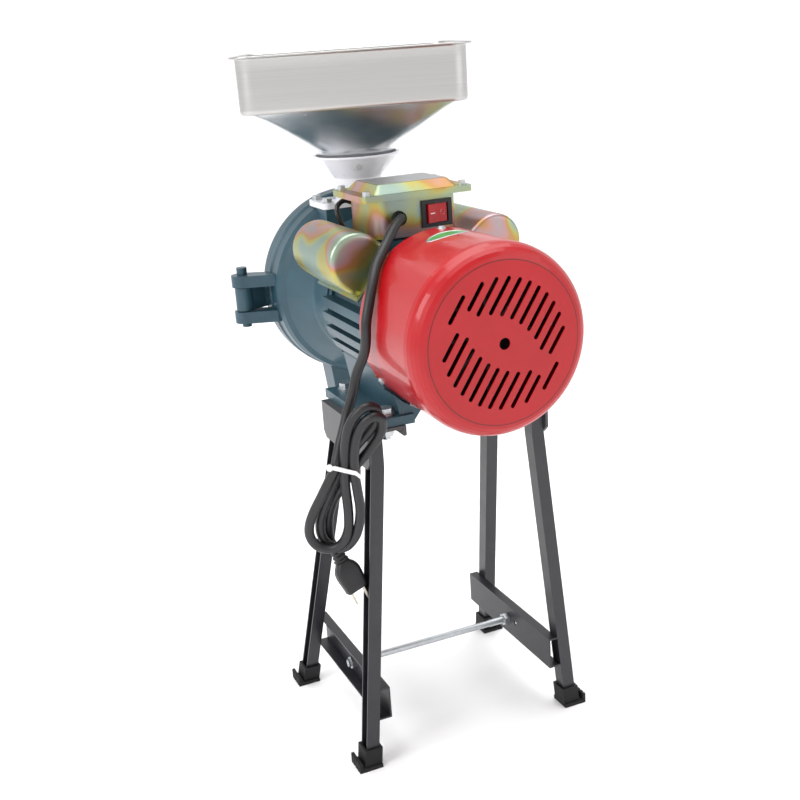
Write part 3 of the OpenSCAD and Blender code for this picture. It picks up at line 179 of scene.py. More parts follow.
# Down the outer side, round the lower loop and up over the first fold.
first_turn = [(15.8, 1.5, -54), (15.6, 4.2, -63), (18.6, 4.4, -78), (22, 4.4, -95), (25.6, 4.4, -112),
              (26.8, 4.4, -127), (24, 4.4, -139), (16.3, 4.4, -147), (6.2, 4.4, -148.6), (-2, 4.4, -145),
              (-8, 4.4, -136), (-9.5, 4.4, -122.4), (-6.6, 4.4, -106.8), (-2.1, 4.4, -91.7), (2.6, 4.4, -77),
              (6.2, 4.4, -62), (9.3, 4.4, -47.3), (11.4, 4.4, -32.4), (11.6, 4.4, -18.7), (9, 4, -7),
              (3.6, 2.4, 2), (-3.4, -1, 4.6), (-9.4, -4.4, 0.6), (-11.4, -5.8, -10)]
# Down behind, round the inner loop and up over the second fold.
second_turn = [(-6.5, -5.5, -23), (0.5, -5, -37), (5, -5, -50), (8, -5, -62), (11.5, -5, -76), (14.8, -5, -92),
               (17, -5, -108), (18, -5, -124), (15, -5, -138), (7.5, -5, -148), (-3, -4, -150.5), (-12, -1, -144),
               (-17.2, 2.5, -130), (-18.1, 4.2, -114), (-15.5, 4.4, -97), (-9.5, 4.4, -80), (-3.2, 4.4, -63),
               (0.7, 4.4, -48), (2.7, 4.4, -32), (2, 4.4, -18), (-2, 4.4, -7.4), (-8.6, 3.2, -2),
               (-15, 0.4, -4.4), (-17.8, -2.8, -14.6)]
# Down behind both turns to the plug.
to_plug = [(-16, -5, -27), (-10.5, -5, -42), (-5, -5, -54), (-1.5, -5, -62), (2.5, -6.5, -76), (7, -10, -92),
           (10.5, -13.2, -108), (11.2, -14.4, -124), (8.5, -14.4, -139), (4.4, -14.4, -150)]
cord_end = place(128.3, 124.8, -207.8)
sheath = extruded_pvc()
cord_points = drop + [in_hank(*point) for point in first_turn + second_turn + to_plug] + [cord_end]
power_cord = round_bar("power_cord_route", smooth_route(cord_points, 4), CORD_D / 2, sheath)
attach(power_cord, "machine")
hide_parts("power_cord", "cord_hank")


# ---- Cord tie ----------------------------------------------------------------
# A natural nylon tie that gathers the five strands.  Its strap runs through a
# moulded lock on the outer side, and its uncut tail stands out from there.
# Moulded nylon is milky, so light spreads a little way into it.
STRAP_W = 4 * MM
STRAP_T = 1.1 * MM
tie_strands = [Vector((15.6, 4.4)), Vector((6.2, 4.4)), Vector((-3.2, 4.4)), Vector((-1.5, -5)), Vector((8, -5))]


def milky_nylon():
    """Natural nylon: off-white and slightly translucent, with a faint moulded grain."""
    material, tree, shader, where = new_finish("natural_nylon", {
        "IOR": 1.53, "Subsurface Weight": 0.3, "Subsurface Radius": (0.002, 0.002, 0.002)})
    vary_surface(tree, shader, where, ("#dcdcdc", "#efefee"), 3, (0.34, 0.48), 0.8, 0.03)
    return material


def new_piece(name, mesh, body, slot, *materials):
    """An object of a finished mesh that rides on a body, with its materials; its slot argument is not used."""
    data = bpy.data.meshes.new(name)
    mesh.to_mesh(data)
    mesh.free()
    for material in materials:
        data.materials.append(material)
    obj = bpy.data.objects.new(name, data)
    bpy.context.collection.objects.link(obj)
    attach(obj, body)
    return obj


def skin_rings(mesh, rings, closed_ends=True, finish=0, smooth=True):
    """Faces between successive rings of points, with flat faces over the two ends if they are closed."""
    loops = [[mesh.verts.new(point) for point in ring] for ring in rings]
    count = len(loops[0])
    for below, above in zip(loops, loops[1:]):
        for k in range(count):
            face = mesh.faces.new((below[k], below[(k + 1) % count], above[(k + 1) % count], above[k]))
            face.material_index, face.smooth = finish, smooth
    if closed_ends:
        for loop in (loops[0][::-1], loops[-1]):
            mesh.faces.new(loop).material_index = finish
    return loops


def strap(mesh, middle, outwards, width, thickness, wide=Vector((0, 0, 1))):
    """A flat strap along a line of points, its face turned to the outward directions."""
    rings = []
    for point, out in zip(middle, outwards):
        rings.append([point + wide * w * width / 2 + out * t * thickness / 2
                      for w, t in ((-1, -1), (-1, 1), (1, 1), (1, -1))])
    skin_rings(mesh, rings, smooth=False)


tie_mesh = bmesh.new()
bmesh.ops.create_cube(tie_mesh, size=1)
bmesh.ops.bevel(tie_mesh, geom=tie_mesh.edges[:], offset=0.16, segments=2, affect="EDGES")
bmesh.ops.transform(tie_mesh, verts=tie_mesh.verts[:], matrix=Matrix.Translation(in_hank(20.2, 7.3, -61.2))
                    @ hank_turn.to_4x4() @ Matrix.Diagonal((0.0052, 0.0046, 0.0056, 1)))
middle, outwards = [], []
for step in range(61):
    turn = math.radians(6 * step + 20)
    out = Vector((math.cos(turn), math.sin(turn)))
    hold = max(tie_strands, key=lambda strand: strand.dot(out))
    at = hold + out * (CORD_D / MM / 2 + 0.5)
    middle.append(in_hank(at.x, at.y, -61.5 - 2.5 * math.cos(turn * 2) * (at.y > 0)))
    outwards.append(hank_turn @ Vector((*out, 0)))
strap(tie_mesh, middle, outwards, STRAP_W, STRAP_T, hank_turn @ Vector((0, 0, 1)))
tail = [in_hank(19.4 + 1.4 * step, 7.2 - 0.1 * step ** 1.5, -61 + 0.12 * step) for step in range(9)]
strap(tie_mesh, tail, [hank_turn @ Vector((0.1, 1, 0))] * len(tail), STRAP_W * 0.8, STRAP_T,
      hank_turn @ Vector((0, 0, 1)))
bmesh.ops.recalc_face_normals(tie_mesh, faces=tie_mesh.faces)
tie = new_piece("nylon_tie", tie_mesh, "machine", "nylon_tie", milky_nylon())
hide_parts("cord_tie")


# ---- Plug --------------------------------------------------------------------
# A flat two-blade plug moulded onto the cord in black PVC.  Its neck carries
# ribs that let the cord bend, and its body swells to finger grips.
# Moulded PVC has a fine spark-eroded texture, so it stays duller than the cord.
plug_turn = Matrix.Rotation(math.radians(18), 3, "X") @ Matrix.Rotation(math.radians(19), 3, "Y")


def textured_black_plastic():
    """Moulded black plastic with an eroded texture: even, dull, with slightly greyer raised grain."""
    material, tree, shader, where = new_finish("moulded_black_plastic", {"IOR": 1.5})
    vary_surface(tree, shader, where, ("#141416", "#1d1d20"), 8, (0.44, 0.6), 0.7, 0.06)
    return material


def in_plug(across, out, down):
    """A point in the plug's own millimetres, from the top of its neck towards the blades."""
    return cord_end + plug_turn @ Vector((across, out, -down)) * MM


def plug_section(wide, thick, corner, down, steps=8):
    """A rounded rectangle across the plug."""
    ring = []
    for quarter in range(4):
        for step in range(steps + 1):
            turn = math.radians(90 * quarter + 90 * step / steps)
            sx, sy = (1, -1, -1, 1)[quarter], (1, 1, -1, -1)[quarter]
            ring.append(in_plug(sx * (wide / 2 - corner) + corner * math.cos(turn),
                                sy * (thick / 2 - corner) + corner * math.sin(turn), down))
    return ring


black_plastic = textured_black_plastic()
plug_mesh = bmesh.new()
neck = [plug_section(9.2, 9.2, 4.6, -6)]
for rib in range(4):
    top, wide = 1.5 + 4 * rib, 10.6 + 1.2 * rib
    neck += [plug_section(9.6 + rib * 0.9, 9.6 + rib * 0.6, 4.6, top),
             plug_section(wide, wide - 0.3 * rib, 4.9, top + 0.5),
             plug_section(wide, wide - 0.3 * rib, 4.9, top + 2.1),
             plug_section(9.8 + rib * 0.9, 9.8 + rib * 0.6, 4.6, top + 2.6)]
skin_rings(plug_mesh, neck)
body = [(13, 11.5, 5, 15.5), (15.5, 12.6, 5, 18), (20.5, 13.8, 5, 21), (24, 14.6, 4.6, 25), (25, 15, 4.4, 29),
        (24.6, 14.6, 4, 34), (23.4, 13.6, 3.6, 39), (22.6, 13.4, 3.4, 43), (22.2, 13.2, 3.2, 46.6),
        (21.2, 12.4, 2.8, 47.7), (19.4, 10.6, 2.2, 48)]
skin_rings(plug_mesh, [plug_section(*section) for section in body])
bmesh.ops.recalc_face_normals(plug_mesh, faces=plug_mesh.faces)
plug = new_piece("moulded_plug", plug_mesh, "machine", "black_plastic", black_plastic)
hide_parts("plug")


def bright_plating(name, shades, patch=6, gloss=(0.2, 0.36)):
    """Plated metal: a soft mirror broken up by slightly duller patches a few millimetres wide."""
    material, tree, shader, where = new_finish(name, {"Metallic": 1})
    vary_surface(tree, shader, where, shades, patch, gloss, 0.9, 0.005)
    return material


nickel = bright_plating("nickel_plated_brass", ("#c9c4b4", "#dcd8cc"))
nodes["plug_pins"].data.materials[0] = nickel


# ---- Stand -------------------------------------------------------------------
# Folded steel: two rails under the motor feet in dull brown-black paint, and
# four bent channel legs with cross members in black powder coat.  Powder coat
# keeps a faint orange peel; the rails' thin paint lets the rolled sheet show.
def dress(material, *names):
    """Give CAD nodes a finish."""
    for name in names:
        for slot in nodes[name].material_slots:
            slot.material = material


def rail_paint():
    """Thin satin paint on rolled sheet: charcoal with a warm cast and upright rolling streaks."""
    material, tree, shader, where = new_finish("rail_paint", {"IOR": 1.5, "Specular IOR Level": 0.4})
    streaks = add_node(tree, "Mapping", {"Vector": where, "Scale": (1, 1, 0.12)}).outputs["Vector"]
    vary_surface(tree, shader, streaks, ("#3c3c3f", "#4d4c4d"), 9, (0.32, 0.46), 2, 0.05)
    return material


def powder_coat():
    """Black powder coat: semi-gloss with an orange peel of about two millimetres."""
    material, tree, shader, where = new_finish("black_powder_coat", {"IOR": 1.5})
    vary_surface(tree, shader, where, ("#1c1d21", "#26272c"), 30, (0.3, 0.42), 2.2, 0.06)
    return material


def moulded_rubber():
    """Moulded rubber: matt black, dusty grey where it is touched."""
    material, tree, shader, where = new_finish("moulded_rubber", {"IOR": 1.5, "Specular IOR Level": 0.3})
    vary_surface(tree, shader, where, ("#131314", "#1c1c1d"), 7, (0.6, 0.78), 1, 0.08)
    return material


zinc = bright_plating("bright_zinc", ("#b2b6ba", "#c4c8cb"), 6, (0.34, 0.44))
dress(rail_paint(), "stand_rail_left", "stand_rail_right")
dress(powder_coat(), "leg_rear_left", "leg_rear_right", "leg_front_left", "leg_front_right",
      "cross_member_left", "cross_member_right")
rubber = moulded_rubber()
dress(rubber, "leg_shoes", "cable_grommet", "box_gasket")
dress(zinc, "tie_rod", "tie_rod_nuts", "foot_bolts")


# ---- Motor -------------------------------------------------------------------
# A finned grey-iron frame with its rear end shield, sprayed in teal enamel
# over the bare casting.  Inside it the stator, rotor, bearings and starting
# switch stay unpainted.
def teal_enamel():
    """Enamel sprayed on sand-cast iron: satin teal over a pitted, gently rolling surface."""
    material, tree, shader, where = new_finish("teal_enamel_on_casting", {
        "IOR": 1.52, "Specular IOR Level": 0.35, "Coat Weight": 0.12, "Coat Roughness": 0.2})
    patches = add_node(tree, "TexNoise", {"Vector": where, "Scale": 1 / (45 * MM), "Detail": 5}).outputs["Fac"]
    even = add_node(tree, "MapRange", {"Value": patches, "From Min": 0.3, "From Max": 0.7}).outputs["Result"]
    colour = add_node(tree, "Mix", {0: even, 6: srgb("#28434f"), 7: srgb("#31505c")}, data_type="RGBA")
    tree.links.new(colour.outputs[2], shader.inputs["Base Color"])
    rough = add_node(tree, "MapRange", {"Value": patches, "To Min": 0.32, "To Max": 0.46}).outputs["Result"]
    tree.links.new(rough, shader.inputs["Roughness"])
    sand = add_node(tree, "TexNoise", {"Vector": where, "Scale": 1 / (2.4 * MM), "Detail": 3}).outputs["Fac"]
    swell = add_node(tree, "TexNoise", {"Vector": where, "Scale": 1 / (18 * MM), "Detail": 1}).outputs["Fac"]
    relief = add_node(tree, "Math", {0: swell, 1: 4.0, 2: sand}, operation="MULTIPLY_ADD").outputs[0]
    bump = add_node(tree, "Bump", {"Height": relief, "Distance": 0.16 * MM, "Strength": 0.7})
    tree.links.new(bump.outputs["Normal"], shader.inputs["Normal"])
    return material


def varnished_copper():
    """Enamelled winding wire: brown copper with the strands showing as fine ridges round the coil."""
    material, tree, shader, where = new_finish("varnished_copper", {"Metallic": 0.9})
    vary_surface(tree, shader, where, ("#8f4f26", "#b8703c"), 3, (0.28, 0.42), 1.2, 0.2)
    return material


def laminated_steel():
    """Stacked electrical steel: fine lines half a millimetre apart along the core, drawn a little coarser."""
    material, tree, shader, where = new_finish("laminated_steel", {"Metallic": 1})
    sheets = add_node(tree, "Mapping", {"Vector": where, "Scale": (0.05, 1, 0.05)}).outputs["Vector"]
    vary_surface(tree, shader, sheets, ("#7d8288", "#9ea3a8"), 1, (0.3, 0.45), 1, 0.06)
    return material


def brown_phenolic():
    """Pressed phenolic board: brown, dull, with a paper grain."""
    material, tree, shader, where = new_finish("brown_phenolic", {"IOR": 1.6})
    vary_surface(tree, shader, where, ("#4a3020", "#5d3d29"), 5, (0.4, 0.55), 0.8, 0.04)
    return material


teal = teal_enamel()
steel = bright_plating("ground_steel", ("#a9adb2", "#c3c6ca"), 4, (0.22, 0.32))
dress(teal, "motor_frame", "rear_end_shield")
dress(laminated_steel(), "stator_core", "rotor_core")
dress(varnished_copper(), "stator_windings")
dress(brown_phenolic(), "centrifugal_switch")
dress(steel, "rotor_shaft", "ball_bearings")


# ---- Fan cover ---------------------------------------------------------------
# Pressed steel in gloss red enamel, slotted over a black moulded fan and held
# by three screws.  The oval plate on its crown is left bare.
# Enamel is a coloured coat under a clear gloss, so its highlights stay sharp.
CREASE_R = 72.6


def red_enamel():
    """Stoved red enamel: deep even red under wet gloss, with a thin ring of painted shade along the pressed crease
    round the flat face.
    """
    material, tree, shader, where = new_finish("stoved_red_enamel", {
        "IOR": 1.52, "Specular IOR Level": 0.25, "Coat Weight": 0.35, "Coat Roughness": 0.04})
    red = vary_surface(tree, shader, where, ("#a00a12", "#ab1019"), 60, (0.3, 0.4), 6, 0.04)
    # Painted shade: a thin dark red ring is mixed in where the pressed crease runs round the flat face.
    from_hub = add_node(tree, "VectorMath", {0: where, 1: hub}, operation="SUBTRACT").outputs["Vector"]
    in_face = add_node(tree, "VectorMath", {0: from_hub, 1: (1, 0, 1)}, operation="MULTIPLY").outputs["Vector"]
    radius = add_node(tree, "VectorMath", {0: in_face}, operation="LENGTH").outputs["Value"]
    off = add_node(tree, "Math", {0: radius, 1: CREASE_R * MM}, operation="SUBTRACT").outputs[0]
    gap = add_node(tree, "Math", {0: off}, operation="ABSOLUTE").outputs[0]
    crease_shade = add_node(tree, "MapRange", {"Value": gap, "From Min": 0.25 * MM, "From Max": 0.7 * MM, "To Min": 1,
                                         "To Max": 0}).outputs["Result"]
    depth = add_node(tree, "SeparateXYZ", {"Vector": from_hub}).outputs["Y"]
    on_face = add_node(tree, "Math", {0: depth, 1: -4 * MM}, operation="GREATER_THAN").outputs[0]
    shade = add_node(tree, "Math", {0: crease_shade, 1: on_face}, operation="MULTIPLY").outputs[0]
    colour = add_node(tree, "Mix", {0: shade, 6: red, 7: srgb("#5f0a11")}, data_type="RGBA")
    tree.links.new(colour.outputs[2], shader.inputs["Base Color"])
    return material


def green_foil():
    """Printed green foil left bare: even green with a soft sheen."""
    material, tree, shader, where = new_finish("bare_green_foil", {"IOR": 1.5, "Metallic": 0.3})
    vary_surface(tree, shader, where, ("#3f8f45", "#58a658"), 12, (0.25, 0.35), 3, 0.02)
    return material


dress(red_enamel(), "fan_cover")
dress(zinc, "cover_screws")
dress(black_plastic, "cooling_fan")
brass = bright_plating("plain_brass", ("#a58343", "#bf9d5a"), 3, (0.26, 0.4))
dress(brass, "earth_screw")

BADGE_AT, BADGE_TURN, BADGE_LONG, BADGE_WIDE = 84, 84, 21, 10.5
crown_r = (cover_high.x - cover_low.x) / 2 / MM - 1.4


def on_crown(forward, around, lift):
    """A point on the fan cover's skirt: forward of its face, round it from +X, above its sheet."""
    turn = math.radians(BADGE_TURN) + around / crown_r
    return place((crown_r + lift) * math.cos(turn), forward, (crown_r + lift) * math.sin(turn))


badge_mesh = bmesh.new()
rings = []
for share, lift, finish in ((1.0, -0.4, 1), (1.0, 0.7, 1), (0.9, 1.0, 1), (0.86, 0.6, 1)):
    rings.append([on_crown(BADGE_AT + BADGE_WIDE * share * math.sin(math.tau * k / 48),
                           BADGE_LONG * share * math.cos(math.tau * k / 48), lift) for k in range(48)])
skin_rings(badge_mesh, rings, closed_ends=False, finish=1)
field = [[on_crown(BADGE_AT + BADGE_WIDE * share * math.sin(math.tau * k / 48),
                   BADGE_LONG * share * math.cos(math.tau * k / 48), 0.6) for k in range(48)]
         for share in (0.86, 0.6, 0.3, 0.04)]
skin_rings(badge_mesh, field, closed_ends=False)
bmesh.ops.recalc_face_normals(badge_mesh, faces=badge_mesh.faces)
new_piece("bare_oval_plate", badge_mesh, "machine", "zinc_bolt", green_foil(), zinc)


# ---- Terminal box ------------------------------------------------------------
# A drawn steel box and pressed lid in yellow chromate, with a rocker switch
# and a rubber gasket.  Thin chromate films on zinc split the light, so gold
# runs into pink, green and violet over a few centimetres.
def rainbow_chromate():
    """Yellow chromate on zinc: a soft mirror whose tint drifts through gold, pink, green and violet."""
    material, tree, shader, where = new_finish("rainbow_chromate", {"Metallic": 0.92})
    drift = add_node(tree, "TexNoise", {"Vector": where, "Scale": 1 / (52 * MM), "Detail": 1, "Roughness": 0.4,
                                        "Distortion": 0.9}).outputs["Fac"]
    film = add_node(tree, "ValToRGB", {"Fac": drift})
    # Along the drift: grey-green, green, gold, orange-brown, pink, violet and back to grey-green.
    stops = ((0.30, "#8ea096"), (0.39, "#9fa981"), (0.46, "#b0a45c"), (0.52, "#b48a57"), (0.58, "#b98e86"),
             (0.65, "#ac979b"), (0.73, "#98a795"))
    ramp = film.color_ramp
    while len(ramp.elements) < len(stops):
        ramp.elements.new(0.5)
    for element, (at, code) in zip(ramp.elements, stops):
        element.position, element.color = at, srgb(code)
    tree.links.new(film.outputs["Color"], shader.inputs["Base Color"])
    dull = add_node(tree, "TexNoise", {"Vector": where, "Scale": 1 / (22 * MM), "Detail": 2}).outputs["Fac"]
    rough = add_node(tree, "MapRange", {"Value": dull, "To Min": 0.34, "To Max": 0.44}).outputs["Result"]
    tree.links.new(rough, shader.inputs["Roughness"])
    press = add_node(tree, "TexNoise", {"Vector": where, "Scale": 1 / (28 * MM), "Detail": 0}).outputs["Fac"]
    bump = add_node(tree, "Bump", {"Height": press, "Distance": 0.3 * MM, "Strength": 0.3})
    tree.links.new(bump.outputs["Normal"], shader.inputs["Normal"])
    return material


def lit_red_rocker():
    """Clear red moulded rocker: light enters it, so it looks brighter than paint."""
    material, tree, shader, where = new_finish("clear_red_rocker", {
        "IOR": 1.5, "Specular IOR Level": 0.3, "Transmission Weight": 0.1, "Coat Weight": 0.2,
        "Coat Roughness": 0.05})
    vary_surface(tree, shader, where, ("#b20c15", "#c2141d"), 6, (0.2, 0.28), 4, 0.01)
    return material


def bare_aluminium():
    """Thin aluminium plate left blank: fine straight brushing along its length."""
    material, tree, shader, where = new_finish("bare_aluminium", {"Metallic": 1})
    brushed = add_node(tree, "Mapping", {"Vector": where, "Scale": (0.04, 1, 1)}).outputs["Vector"]
    vary_surface(tree, shader, brushed, ("#b4b6b7", "#c6c8c9"), 0.8, (0.38, 0.5), 0.6, 0.02)
    return material


def white_print():
    """White marking ink: flat and a little chalky."""
    material, tree, shader, where = new_finish("white_marking_ink", {"IOR": 1.5})
    vary_surface(tree, shader, where, ("#f0efec", "#fbfaf8"), 1, (0.5, 0.6), 0.5, 0.01)
    return material


chromate = rainbow_chromate()
dress(chromate, "terminal_box", "box_lid")
dress(zinc, "lid_screws")
dress(black_plastic, "switch_bezel")
dress(lit_red_rocker(), "switch_rocker")

lid_low, lid_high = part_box("box_lid")
plate_mesh = bmesh.new()
PLATE_W, PLATE_D, PLATE_T = 68 * MM, 51 * MM, 0.4 * MM
slab = bmesh.ops.create_cube(plate_mesh, size=1)["verts"]
bmesh.ops.transform(plate_mesh, verts=slab, matrix=Matrix.Translation(
    ((lid_low.x + lid_high.x) / 2, (lid_low.y + lid_high.y) / 2, lid_high.z + PLATE_T / 2))
    @ Matrix.Diagonal((PLATE_W, PLATE_D, PLATE_T, 1)))
bmesh.ops.bevel(plate_mesh, geom=[edge for edge in plate_mesh.edges
                                  if abs(edge.verts[0].co.z - edge.verts[1].co.z) > PLATE_T / 2],
                offset=2 * MM, segments=4, affect="EDGES")
new_piece("bare_lid_plate", plate_mesh, "machine", "zinc_bolt", bare_aluminium())

# The dash and ring of the on and off sides, printed on the rocker's two faces.
rocker_low, rocker_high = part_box("switch_rocker")
MARK_OFF = 5.6
rocker_mid = (rocker_low + rocker_high) / 2
rocker_turn = Matrix.Translation((-19.5 * MM, place(0, 164.6, 0).y, rocker_mid.z)) @ Matrix.Rotation(
    math.radians(10), 4, "Z")
HALF_SLOPE = math.atan(1 / 10.65)
RING_OUTER, RING_INNER, RING_FOOT, RING_TOP = 2.8, 1.9, -0.1, 0.4
DASH_LONG, DASH_WIDE, DASH_THICK = 5.4 * MM, 0.9 * MM, 0.3 * MM
marks = bmesh.new()
for side in (1, -1):
    face = (rocker_turn @ Matrix.Translation((side * MARK_OFF * MM, 2.02 * MM, 0))
            @ Matrix.Rotation(side * HALF_SLOPE, 4, "Z") @ Matrix.Rotation(math.radians(90), 4, "X"))
    if side > 0:
        bar = bmesh.ops.create_cube(marks, size=1)["verts"]
        bmesh.ops.transform(marks, verts=bar, matrix=face @ Matrix.Diagonal((DASH_LONG, DASH_WIDE, DASH_THICK, 1)))
    else:
        loops = []
        for r, z in ((RING_OUTER, RING_FOOT), (RING_OUTER, RING_TOP), (RING_INNER, RING_TOP),
                     (RING_INNER, RING_FOOT)):
            loops.append([face @ (Vector((r * math.cos(math.tau * k / 28), r * math.sin(math.tau * k / 28), z))
                                  * MM) for k in range(28)])
        skin_rings(marks, loops, closed_ends=False, smooth=False)
new_piece("rocker_marks", marks, "rocker", "nylon_tie", white_print())


# ---- Capacitors --------------------------------------------------------------
# Each capacitor lies under a drawn steel cover with a round back, rolled ends
# and a turned-out lip, in the same chromate as the box.  A short black lead
# loops from the box to the left one.
COVER_R, COVER_BASE, COVER_MID, COVER_AT, COVER_LEN = 27.5, 73.3, 93.6, 145, 110
COVER_EASE, COVER_LIP, COVER_SHEET = 4.6, 3.5, 1.2
COVER_ANGLE = math.radians(39)


def in_cover(side, out, along_round, forward):
    """A point by its distance out from the motor's axis, across the cover and along the motor."""
    across = out * math.cos(COVER_ANGLE) - along_round * math.sin(COVER_ANGLE)
    up = out * math.sin(COVER_ANGLE) + along_round * math.cos(COVER_ANGLE)
    return place(side * across, COVER_AT + forward, up)


def cover_ring(side, inset, forward, steps=20):
    """The cover's section: up one straight side, round the back and down the other side."""
    radius = COVER_R - inset
    ring = [in_cover(side, COVER_BASE + share * (COVER_MID - COVER_BASE), -radius, forward)
            for share in (0, 0.5)]
    for step in range(steps + 1):
        turn = math.radians(-90 + 180 * step / steps)
        ring.append(in_cover(side, COVER_MID + radius * math.cos(turn), radius * math.sin(turn), forward))
    ring += [in_cover(side, COVER_BASE + share * (COVER_MID - COVER_BASE), radius, forward)
             for share in (0.5, 0)]
    return ring


for side, name in ((1, "left"), (-1, "right")):
    cover = bmesh.new()
    ease = [(COVER_EASE * (1 - math.sin(math.radians(turn))), COVER_EASE * (1 - math.cos(math.radians(turn))))
            for turn in (0, 18, 36, 54, 72, 90)]
    stations = ([(inset + 3, forward) for inset, forward in ease[:1]] + ease + [(0, 40), (0, 75)]
                + [(inset, COVER_LEN - forward) for inset, forward in reversed(ease)]
                + [(COVER_EASE + 3, COVER_LEN)])
    skin_rings(cover, [cover_ring(side, inset, forward) for inset, forward in stations])
    lips = [((COVER_BASE, COVER_BASE + COVER_SHEET), (-COVER_R - COVER_LIP, -COVER_R + COVER_SHEET),
             (-COVER_LIP, COVER_LEN - COVER_LIP)),
            ((COVER_BASE, COVER_BASE + COVER_SHEET), (-COVER_R - COVER_LIP, COVER_R - 4 - COVER_LIP),
             (-COVER_LIP, COVER_SHEET))]
    for outs, rounds, forwards in lips:
        corners = [in_cover(side, out, across, forward) for forward in forwards
                   for out, across in ((outs[0], rounds[0]), (outs[1], rounds[0]), (outs[1], rounds[1]),
                                       (outs[0], rounds[1]))]
        skin_rings(cover, [corners[:4], corners[4:]], smooth=False)
    bmesh.ops.recalc_face_normals(cover, faces=cover.faces)
    piece = new_piece("drawn_cover_" + name, cover, "machine", "rainbow_zinc", chromate)
    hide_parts("capacitor_cover_" + name)
dress(black_plastic, "start_capacitor", "run_capacitor")
dress(sheath, "capacitor_lead")


# ---- Grinding head -----------------------------------------------------------
# The bowl, its feed housing and the door are grey-iron castings in the motor's
# teal enamel.  The auger, head, discs and carrier are bare iron with ground
# faces, and the screw, nut and latch bolt are zinc plated.
def bare_iron():
    """Bare grinding iron: dark grey as cast, brighter where it is ground."""
    material, tree, shader, where = new_finish("bare_grinding_iron", {"Metallic": 0.85})
    vary_surface(tree, shader, where, ("#5c6063", "#7c8083"), 10, (0.38, 0.58), 1.6, 0.12)
    return material


dress(teal, "mill_body", "bowl_fittings", "feed_housing", "front_door", "door_hinge_pin")
dress(bare_iron(), "feed_auger", "grinding_head", "rotating_disc", "stationary_disc", "disc_carrier")
dress(zinc, "adjusting_screw", "lock_nut", "swing_bolt", "clamp_washer")
dress(black_plastic, "clamp_knob")


# ---- Feed throat and hopper --------------------------------------------------
# A white enamelled iron throat is bolted to the bowl.  The hopper is one
# stainless sheet: drawn square at the top, blended to a round spigot below,
# with its lip rolled outwards.  The wall is satin; the cone is polished.
def white_enamel():
    """Vitreous white enamel: cool white, wet gloss, soft ripple over the casting."""
    material, tree, shader, where = new_finish("white_vitreous_enamel", {
        "IOR": 1.52, "Coat Weight": 0.5, "Coat Roughness": 0.06})
    vary_surface(tree, shader, where, ("#dcdde3", "#e9e9ee"), 25, (0.25, 0.36), 7, 0.08)
    return material


def satin_stainless():
    """Brushed stainless sheet: pale steel, level brushing drawn a little coarser than its real grain."""
    material, tree, shader, where = new_finish("satin_stainless", {"Metallic": 1})
    level = add_node(tree, "Mapping", {"Vector": where, "Scale": (0.006, 0.006, 1)}).outputs["Vector"]
    vary_surface(tree, shader, level, ("#b4b3b1", "#bbbab8"), 1.6, (0.32, 0.37), 1.2, 0.003)
    return material


def polished_stainless():
    """Buffed stainless: a soft mirror with wide shallow waves from the press."""
    material, tree, shader, where = new_finish("polished_stainless", {"Metallic": 1})
    vary_surface(tree, shader, where, ("#dcdddd", "#e6e6e7"), 30, (0.2, 0.28), 26, 0.14)
    return material


dress(white_enamel(), "feed_throat")
dress(zinc, "throat_bolts", "hopper_screw")

throat_low, throat_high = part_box("feed_throat")
hopper_seat = Vector((0, (throat_low.y + throat_high.y) / 2, throat_low.z))
hopper_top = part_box("hopper")[1].z
HOPPER_TURN = math.radians(-20)
HOPPER_W, HOPPER_FOLD_W, HOPPER_CORNER, HOPPER_SHEET = 221, 219.5, 16, 1.2
HOPPER_LIP, SPIGOT_R, SPIGOT_FOOT, SPIGOT_TOP, HOPPER_WALL = 5.5, 40, 46, 53, 53
hopper_h = (hopper_top - hopper_seat.z) / MM
fold_h = hopper_h - HOPPER_WALL


def hopper_ring(half, corner, height, steps=10):
    """One level of the hopper: a square of rounded corners, or a circle where the corners meet."""
    ring = []
    for quarter in range(4):
        sx, sy = (1, -1, -1, 1)[quarter], (1, 1, -1, -1)[quarter]
        for step in range(steps + 1):
            turn = math.radians(90 * quarter + 90 * step / steps)
            at = Vector((sx * (half - corner) + corner * math.cos(turn),
                         sy * (half - corner) + corner * math.sin(turn), height))
            ring.append(hopper_seat + Matrix.Rotation(HOPPER_TURN, 3, "Z") @ at * MM)
    return ring


def blend(low, high, count):
    """Levels between two levels, evenly spaced, without the last."""
    return [tuple(a + (b - a) * k / count for a, b in zip(low, high)) for k in range(count)]


spigot_foot, spigot_top = (SPIGOT_R, SPIGOT_R, SPIGOT_FOOT), (SPIGOT_R, SPIGOT_R, SPIGOT_TOP)
fold = (HOPPER_FOLD_W / 2, HOPPER_CORNER, fold_h)
rim = (HOPPER_W / 2, HOPPER_CORNER, hopper_h - 3.6)
cone = blend(spigot_foot, spigot_top, 2) + blend(spigot_top, fold, 8)
near_fold = (fold[0] - 1.6, HOPPER_CORNER, fold_h - 1.3)
wall = [near_fold, (fold[0] - 0.3, HOPPER_CORNER, fold_h - 0.2), (fold[0] + 0.25, HOPPER_CORNER, fold_h + 1.8)]
wall += blend((fold[0] + 0.4, HOPPER_CORNER, fold_h + 4), rim, 4)
# The lip turns out level and its edge is hemmed back under itself.
hem = [(0.3, -2.6), (1.2, -2.0), (3.4, -1.9), (4.6, -1.8), (5.3, -1.4), (HOPPER_LIP, -0.9), (5.3, -0.3), (4.6, 0),
       (1.4, 0), (0.3, -0.2), (-0.6, -0.9)]
bead = [(HOPPER_W / 2 + out, HOPPER_CORNER + out, hopper_h + up) for out, up in hem]


def inner(levels):
    """The sheet's inner face, from the top down."""
    return [(half - HOPPER_SHEET, corner - HOPPER_SHEET, height + 0.4) for half, corner, height in reversed(levels)]


